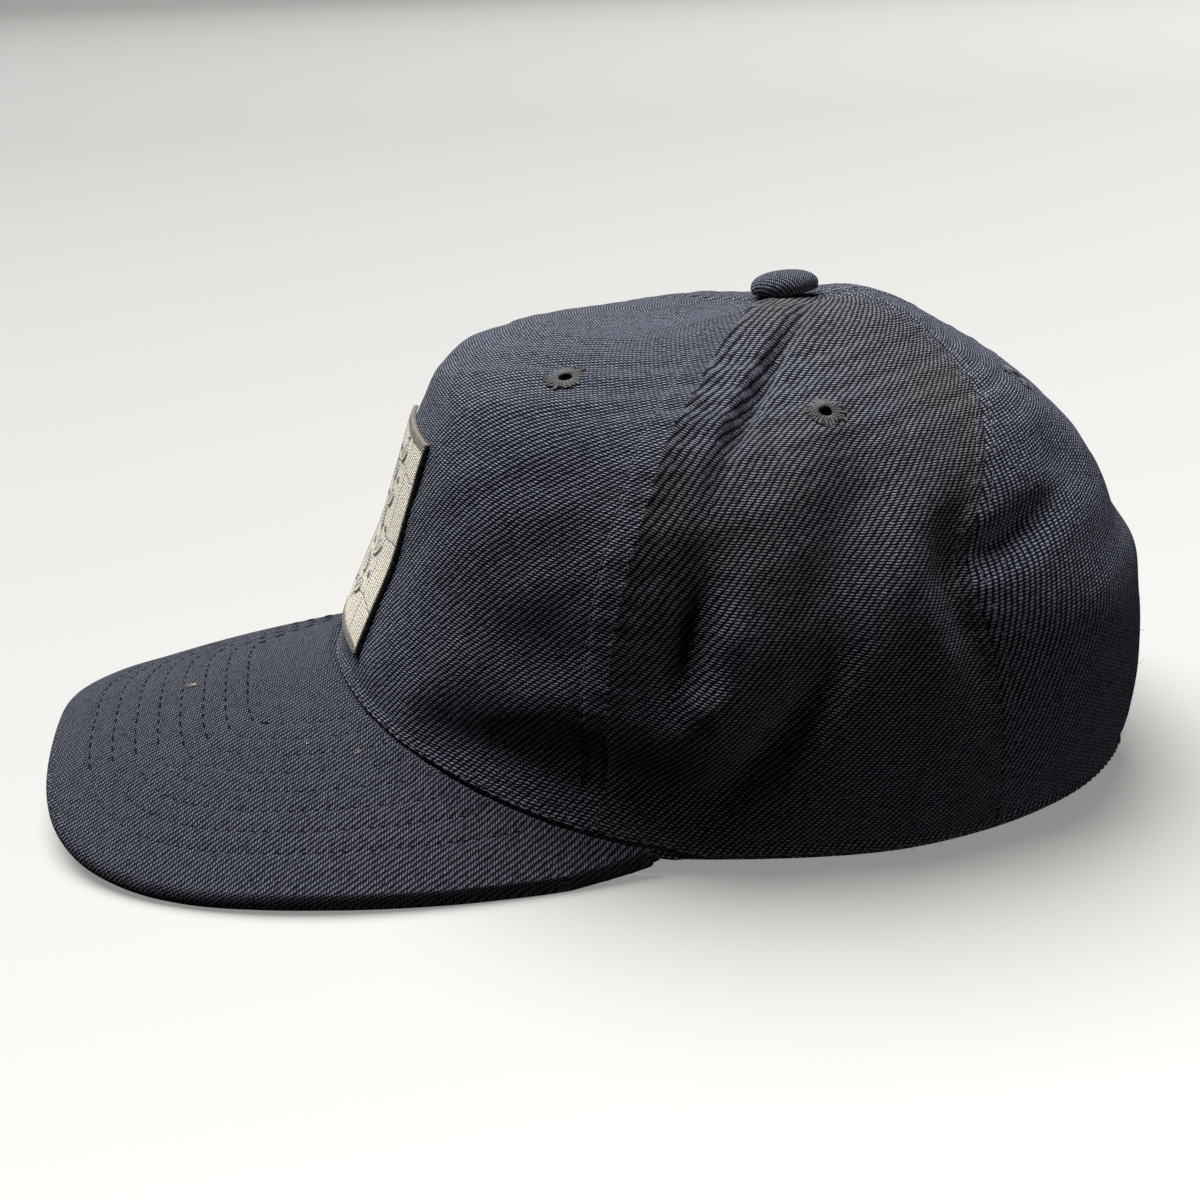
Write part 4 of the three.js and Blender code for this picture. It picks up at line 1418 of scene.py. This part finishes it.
def stem_x(y):
    """The stem leans from its foot to its head and sways as a sine."""
    share = (y - STEM["foot"][1]) / (STEM["head"][1] - STEM["foot"][1])
    lean = mix(STEM["foot"][0], STEM["head"][0], share)
    return lean + STEM["sway"] * np.sin(share * 2.4 * math.pi), share


def leaf(x, y, root_x, root_y, heading):
    """0 in the middle of a leaf and 1 at its edge: an oval that starts at its root, pointed
    because its width shrinks towards both ends."""
    along, across = turned(x - root_x, y - root_y, heading)
    along, across = along / LEAVES["length"], across / LEAVES["width"]
    wide = np.sqrt(np.clip(4 * along * (1 - along), 1e-6, 1))
    return np.where((along > 0) & (along < 1), np.abs(across) / wide, 9.0)


def patch_pattern(x, y, height):
    """Masks for the border and for dark thread, from 0 to 1, and the relief in mm."""
    to_side = PATCH["half_width"] - np.abs(x) + PATCH["border"] - PATCH["side_border"]
    border = smooth((PATCH["border"] - np.minimum(to_side, np.minimum(y, height - y))) / 0.3 + 0.5)
    lines = [np.abs(y - level - 0.6 * np.sin(x / 3.1 + level)) for level in LINES["level"]]
    lines += [np.abs(x - upright - 0.5 * np.sin(y / 5.0)) for upright in LINES["upright"]]
    thin = smooth(1.5 - np.minimum.reduce(lines) / LINES["width"])
    middle, share = stem_x(y)
    on_stem = (share > 0) & (share < 1)
    sprig = smooth(1.5 - np.abs(x - middle) / STEM["thick"]) * on_stem
    fill = np.zeros_like(x)
    for k in range(LEAVES["count"]):
        root_y = mix(STEM["foot"][1], STEM["head"][1], (k + 0.5) / LEAVES["count"])
        root_x = float(stem_x(np.array(root_y))[0])
        side = (-1) ** k
        inside = leaf(x, y, root_x, root_y, 90 - LEAVES["turn"] * side)
        rim = smooth(1 - (np.abs(inside - 0.82) - 0.12) / 0.15) * (inside < 1.1)
        vein = 0.8 * smooth(1 - (inside - 0.08) / 0.1) * (inside < 0.3)
        sprig = np.maximum(sprig, np.maximum(rim, vein))
        fill = np.maximum(fill, smooth((1 - inside) / 0.2))
        berry_x, berry_y = root_x - BERRY["aside"] * side, root_y + BERRY["above"]
        berry = np.hypot(x - berry_x, y - berry_y) / BERRY["radius"]
        sprig = np.maximum(sprig, smooth((1 - berry) / 0.3))
        fill = np.maximum(fill, smooth((1 - berry) / 0.6))
    inner = 1 - border
    dark = np.maximum(0.55 * thin * (1 - fill), sprig) * inner
    relief = 0.2 * border + 0.25 * fill * inner + 0.1 * sprig * inner
    relief = relief - 0.15 * thin * inner * (1 - fill)
    return border, dark, relief


# %% Embroidery material and the patch
STRAND = 0.42


def satin(name, cream, taupe, dark):
    """Satin stitches: long parallel threads, so the relief is a sine across them, bent by noise.
    The weave attribute's first number is mm across the threads, its second the border mask and
    its third the mask of dark thread."""
    material, tree, shader = start_material(name, roughness=0.55, sheen_weight=0.3)
    across, border, motif = weave_parts(tree)
    step = arithmetic(tree)
    sway = step("MULTIPLY_ADD", noise(tree, 900), 0.5, -0.25)
    strand = step("MULTIPLY", step("ADD", across, sway), 2 * math.pi / STRAND)
    ridge = step("MULTIPLY_ADD", step("SINE", strand), 0.5, 0.5)
    # Painted light and shade of each strand: lit multiplies the colour, darker between the strands.
    lit = step("MULTIPLY_ADD", ridge, 0.45, 0.55)
    shaded_cream = tuple(0.8 * c for c in cream[:3]) + (1,)
    field = blend_colours(tree, noise(tree, 700, 3.0), cream, shaded_cream)
    colour = blend_colours(tree, border, field, taupe)
    colour = blend_colours(tree, motif, colour, dark)
    paint(tree, shader, blend_colours(tree, 1.0, colour, lit, "MULTIPLY"), ridge, 0.00025)
    return material


embroidery = satin(
    "patch_embroidery",
    cream=(0.98, 0.86, 0.60, 1),
    taupe=(0.34, 0.28, 0.19, 1),
    dark=(0.075, 0.06, 0.045, 1),
)


def build_patch():
    """The front face follows the crown at the plate's height plus the pattern's relief, and its
    edge is rounded; the back face lies just off the cloth."""
    x_share = np.linspace(-1, 1, PATCH["columns"])
    y_share = np.linspace(0, 1, PATCH["rows"])[:, None]
    t = mix(PATCH["low_t"], PATCH["high_t"], y_share) * np.ones_like(x_share)
    phi = x_share * np.degrees(np.arcsin(PATCH["half_width"] / profile["side_x"](t)))
    up = run_length(crown_face(0 * t, t), axis=0)
    height = up[-1, 0]
    x = x_share * PATCH["half_width"]
    border, dark, relief = patch_pattern(x, up, height)
    to_side = PATCH["half_width"] * (1 - np.abs(x_share))
    to_end = np.minimum(up, height - up)
    front = PATCH["height"] + relief - rounded(np.minimum(to_side, to_end), PATCH["edge"])
    outer = inside_crown(phi, t, -front)
    inner = inside_crown(phi, t, np.full_like(t, -PATCH["clear"]))
    on_border = border > 0.5
    beside = (to_side < to_end) & on_border
    across = np.where(on_border, np.where(beside, up, x), 0.7 * up + 0.7 * x_share)
    weave = np.stack(np.broadcast_arrays(across, border, dark), -1)
    plate = shell(outer, inner, all_cells(outer))
    piece = new_piece("front_patch_embroidery", *plate, embroidery, [weave, weave])
    dress(piece, "embroidery", "front_patch")
    print("the patch is", round(height, 1), "mm tall")


build_patch()

# %% [markdown]
# Two straps of soft plastic lap over each other across the arch. The outer one is pierced by a row
# of round holes, and the inner one has domed studs, of which four sit in holes. Moulded plastic
# has no sharp edge, so both faces fall off in a quarter circle all round.

# %% Snap straps
STRAP = dict(
    thick=1.4, low_z=4.0, high_z=23.0, root_angle=148, pitch_angle=5.4, count=6, fastened=4,
    margin=1.0, hole_radius=2.6, wall_rise=98, mm_per_degree=1.72, corner=4.5, edge=0.55,
)  # fmt: skip
STRAP_GAP = 0.3
STUD_RADIUS = 2.156
STUD_PROFILE = table(
    "height reach",
    (-0.9, 0.9),
    (0.5, 0.9),
    (1.0, 1.02),
    (1.7, 1.02),
    (2.2, 0.85),
    (2.5, 0.5),
    (2.6, 0.06),
)
STUD_SPOKES = 28


def plastic_material():
    """Soft moulded plastic: dark, half matt, with a faint grain."""
    material, tree, shader = start_material("strap_plastic", roughness=0.42)
    paint(tree, shader, (0.012, 0.014, 0.02, 1), noise(tree, 1800), 0.00006)
    return material


def strap_point(phi, z, depth):
    """The crown's plan at the height z, moved inwards along its level normal by the depth."""
    t = z / STRAP["wall_rise"]
    x, y = plan(phi, t)
    ahead = np.stack(plan(phi + 0.5, t), -1)
    behind = np.stack(plan(phi - 0.5, t), -1)
    arm = ahead - behind
    normal = unit(np.stack([arm[..., 1], -arm[..., 0], 0 * x], -1))
    return np.stack([x, y, z], -1) - normal * np.asarray(depth)[..., None], normal


def strap_shell(start, end, free_end, depth):
    """Both faces of a belt from one azimuth to another. Its free end is rounded in height."""
    run = np.linspace(0, 1, 126)
    lift = np.linspace(-1, 1, 42)[:, None]
    phi = mix(start, end, run) * np.ones_like(lift)
    to_end = np.abs(phi - free_end) * STRAP["mm_per_degree"]
    middle = (STRAP["low_z"] + STRAP["high_z"]) / 2
    half = (STRAP["high_z"] - STRAP["low_z"]) / 2
    radius = STRAP["corner"]
    narrow = radius - np.clip(to_end, 0, radius)
    z = middle + lift * (half - radius + np.sqrt(np.maximum(radius**2 - narrow**2, 0.01)))
    to_side = half * (1 - np.abs(lift))
    fall = rounded(np.minimum(to_side, to_end), STRAP["edge"])
    outer, _ = strap_point(phi, z, depth + fall)
    inner, _ = strap_point(phi, z, depth + STRAP["thick"] - fall)
    return outer, inner


def stud(centre, normal):
    """A pin with a domed head: its profile turns about the strap's normal."""
    height, reach = np.array([list(row.values()) for row in STUD_PROFILE]).T
    reach = reach * STUD_RADIUS
    side = unit(np.cross([0, 0, 1.0], normal))
    spoke = spokes(side, np.cross(normal, side), full_turn(STUD_SPOKES))
    return centre + normal * height[:, None, None] + spoke * reach[:, None, None]


def build_straps():
    """The left strap lies outside and is pierced; the right one lies inside it, and its mesh
    holds the studs too, one at each turn of the row of holes."""
    middle = np.array((STRAP["low_z"] + STRAP["high_z"]) / 2)
    outer_depth = CLOTH + 2 * STRAP_GAP
    inner_depth = outer_depth + STRAP["thick"] + STRAP_GAP
    root, pitch = STRAP["root_angle"], STRAP["pitch_angle"]
    lap = STRAP["fastened"] / 2 * pitch + STRAP["margin"]
    turns = ((STRAP["fastened"] - 1) / 2 - np.arange(STRAP["count"])) * pitch
    outer, inner = strap_shell(root, 180 + lap, 180 + lap, outer_depth)
    keep = all_cells(outer)
    for turn in turns:
        centre, normal = strap_point(180 + turn, middle, outer_depth)
        open_hole(outer, inner, keep, centre, normal, STRAP["hole_radius"])
    piece = new_piece("snap_strap_left_plastic", *shell(outer, inner, keep), plastic)
    dress(piece, "plastic", "snap_strap_left")
    outer, inner = strap_shell(180 - lap, 360 - root, 180 - lap, inner_depth)
    points, quads = shell(outer, inner, all_cells(outer))
    fans = np.empty((0, 3), int)
    for turn in turns:
        head = stud(*strap_point(180 - turn, middle, inner_depth))
        rows, columns = head.shape[:2]
        k = np.arange(1, columns - 1)
        foot = np.stack([0 * k, k + 1, k], -1)
        top = np.stack([0 * k, k, k + 1], -1) + (rows - 1) * columns
        sides = ring_quads(columns, rows)[:, INSIDE_OUT]
        quads = np.concatenate([quads, sides + len(points)])
        fans = np.concatenate([fans, foot + len(points), top + len(points)])
        points = np.concatenate([points, head.reshape(-1, 3)])
    piece = new_piece("snap_strap_right_plastic", points, quads, plastic, triangles=fans)
    dress(piece, "plastic", "snap_strap_right")


plastic = plastic_material()
build_straps()

# %% [markdown]
# A photograph's studio is a pale sweep: a floor that curves up far behind, so no horizon shows.
# One large soft light hangs over the cap, a little in front of it and behind it as the camera sees
# it, so the tops are pale and the sides dark. A Sun lamp with a wide angle is such a light, and it
# lights the whole floor evenly. The paper's colour is painted darker away from the camera: painted
# shade of a studio's light falling off. A slight painted glow of the paper narrows its shadows.

# %% Floor and lights
SWEEP = dict(curve_x=-5.0, radius=1.0, front_x=1.5, half_width=4.0, top=3.0)
PAPER = dict(near_x=0.17, far=1.7, pale=0.405, fall=0.150, aside=0.066, glow=0.26)
PAPER_COLOUR = (1.0, 0.952, 0.850, 1)
PAPER_GLOW = (1.0, 0.982, 0.95, 1)
BLACK = (0, 0, 0, 1)


def build_sweep():
    """The floor's section runs level, round a quarter of a circle, and up; it is carried across.
    Its colour is painted shade: it falls with the square root of the distance behind a line near
    the cap, and rises slowly to the right. A slight glow, painted light, keeps the shadows on it
    narrow, as bright light does."""
    turn = np.linspace(0, math.pi / 2, 24)
    start, radius = SWEEP["curve_x"], SWEEP["radius"]
    x = np.concatenate([[SWEEP["front_x"]], start - radius * np.sin(turn), [start - radius]])
    z = np.concatenate([[0], radius * (1 - np.cos(turn)), [SWEEP["top"]]])
    line = np.stack([x, 0 * x, z], -1) / MM
    half = SWEEP["half_width"] / MM
    points = np.stack([line - [0, half, 0], line + [0, half, 0]])
    count = len(x)
    i = np.arange(count - 1)
    quads = np.stack([i, i + 1, i + 1 + count, i + count], -1)[:, ::-1]
    material, tree, shader = start_material(
        "pale_floor",
        roughness=0.9,
        specular_ior_level=0.1,
        # Painted light: the paper glows a little.
        emission_color=PAPER_GLOW,
        emission_strength=PAPER["glow"],
    )
    x, y, _ = parts_of(tree, coordinates(tree))
    step = arithmetic(tree)
    # Painted shade: the paper's colour darkens behind the cap and lightens to the right.
    behind = step("MULTIPLY_ADD", x, -1.0, PAPER["near_x"])
    behind = step("MINIMUM", step("MAXIMUM", behind, 0.0), PAPER["far"])
    shade = step("MULTIPLY_ADD", step("SQRT", behind), -PAPER["fall"], PAPER["pale"])
    shade = held(tree, step("MULTIPLY_ADD", y, PAPER["aside"], shade))
    put(tree, shader.inputs["Base Color"], blend_colours(tree, shade, BLACK, PAPER_COLOUR))
    sweep = new_piece("floor", points, quads, material)
    sweep.visible_diffuse = False
    sweep.visible_glossy = False


def hang_sun(name, place, strength, angle, colour):
    """A Sun lamp shines from its place towards the origin; a wide angle makes it soft."""
    light = bpy.data.lights.new(name, "SUN")
    light.energy = strength
    light.color = colour
    light.angle = math.radians(angle)
    lamp = bpy.data.objects.new(name, light)
    lamp.location = place
    lamp.rotation_euler = (-Vector(place)).to_track_quat("-Z", "Y").to_euler()
    bpy.context.scene.collection.objects.link(lamp)


def light_room():
    """The world is pale above and dark below, mixed by the height of the direction looked in."""
    world = bpy.data.worlds.new("studio")
    world.use_nodes = True
    tree = world.node_tree
    height = parts_of(tree, coordinates(tree, "Generated"))[2]
    low, high = (0.004, 0.004, 0.004, 1), (0.028, 0.029, 0.033, 1)
    colour = blend_colours(tree, held(tree, height), low, high)
    tree.links.new(colour, tree.nodes["Background"].inputs[0])
    bpy.context.scene.world = world


build_sweep()
hang_sun("overhead", (-0.50, -0.22, 1.0), strength=7.4, angle=54, colour=(0.94, 0.97, 1.05))
hang_sun("low_fill", (0.62, 0.78, 0.02), strength=0.70, angle=30, colour=(1.0, 1.0, 1.05))
light_room()
bpy.context.scene.view_settings.view_transform = "Standard"
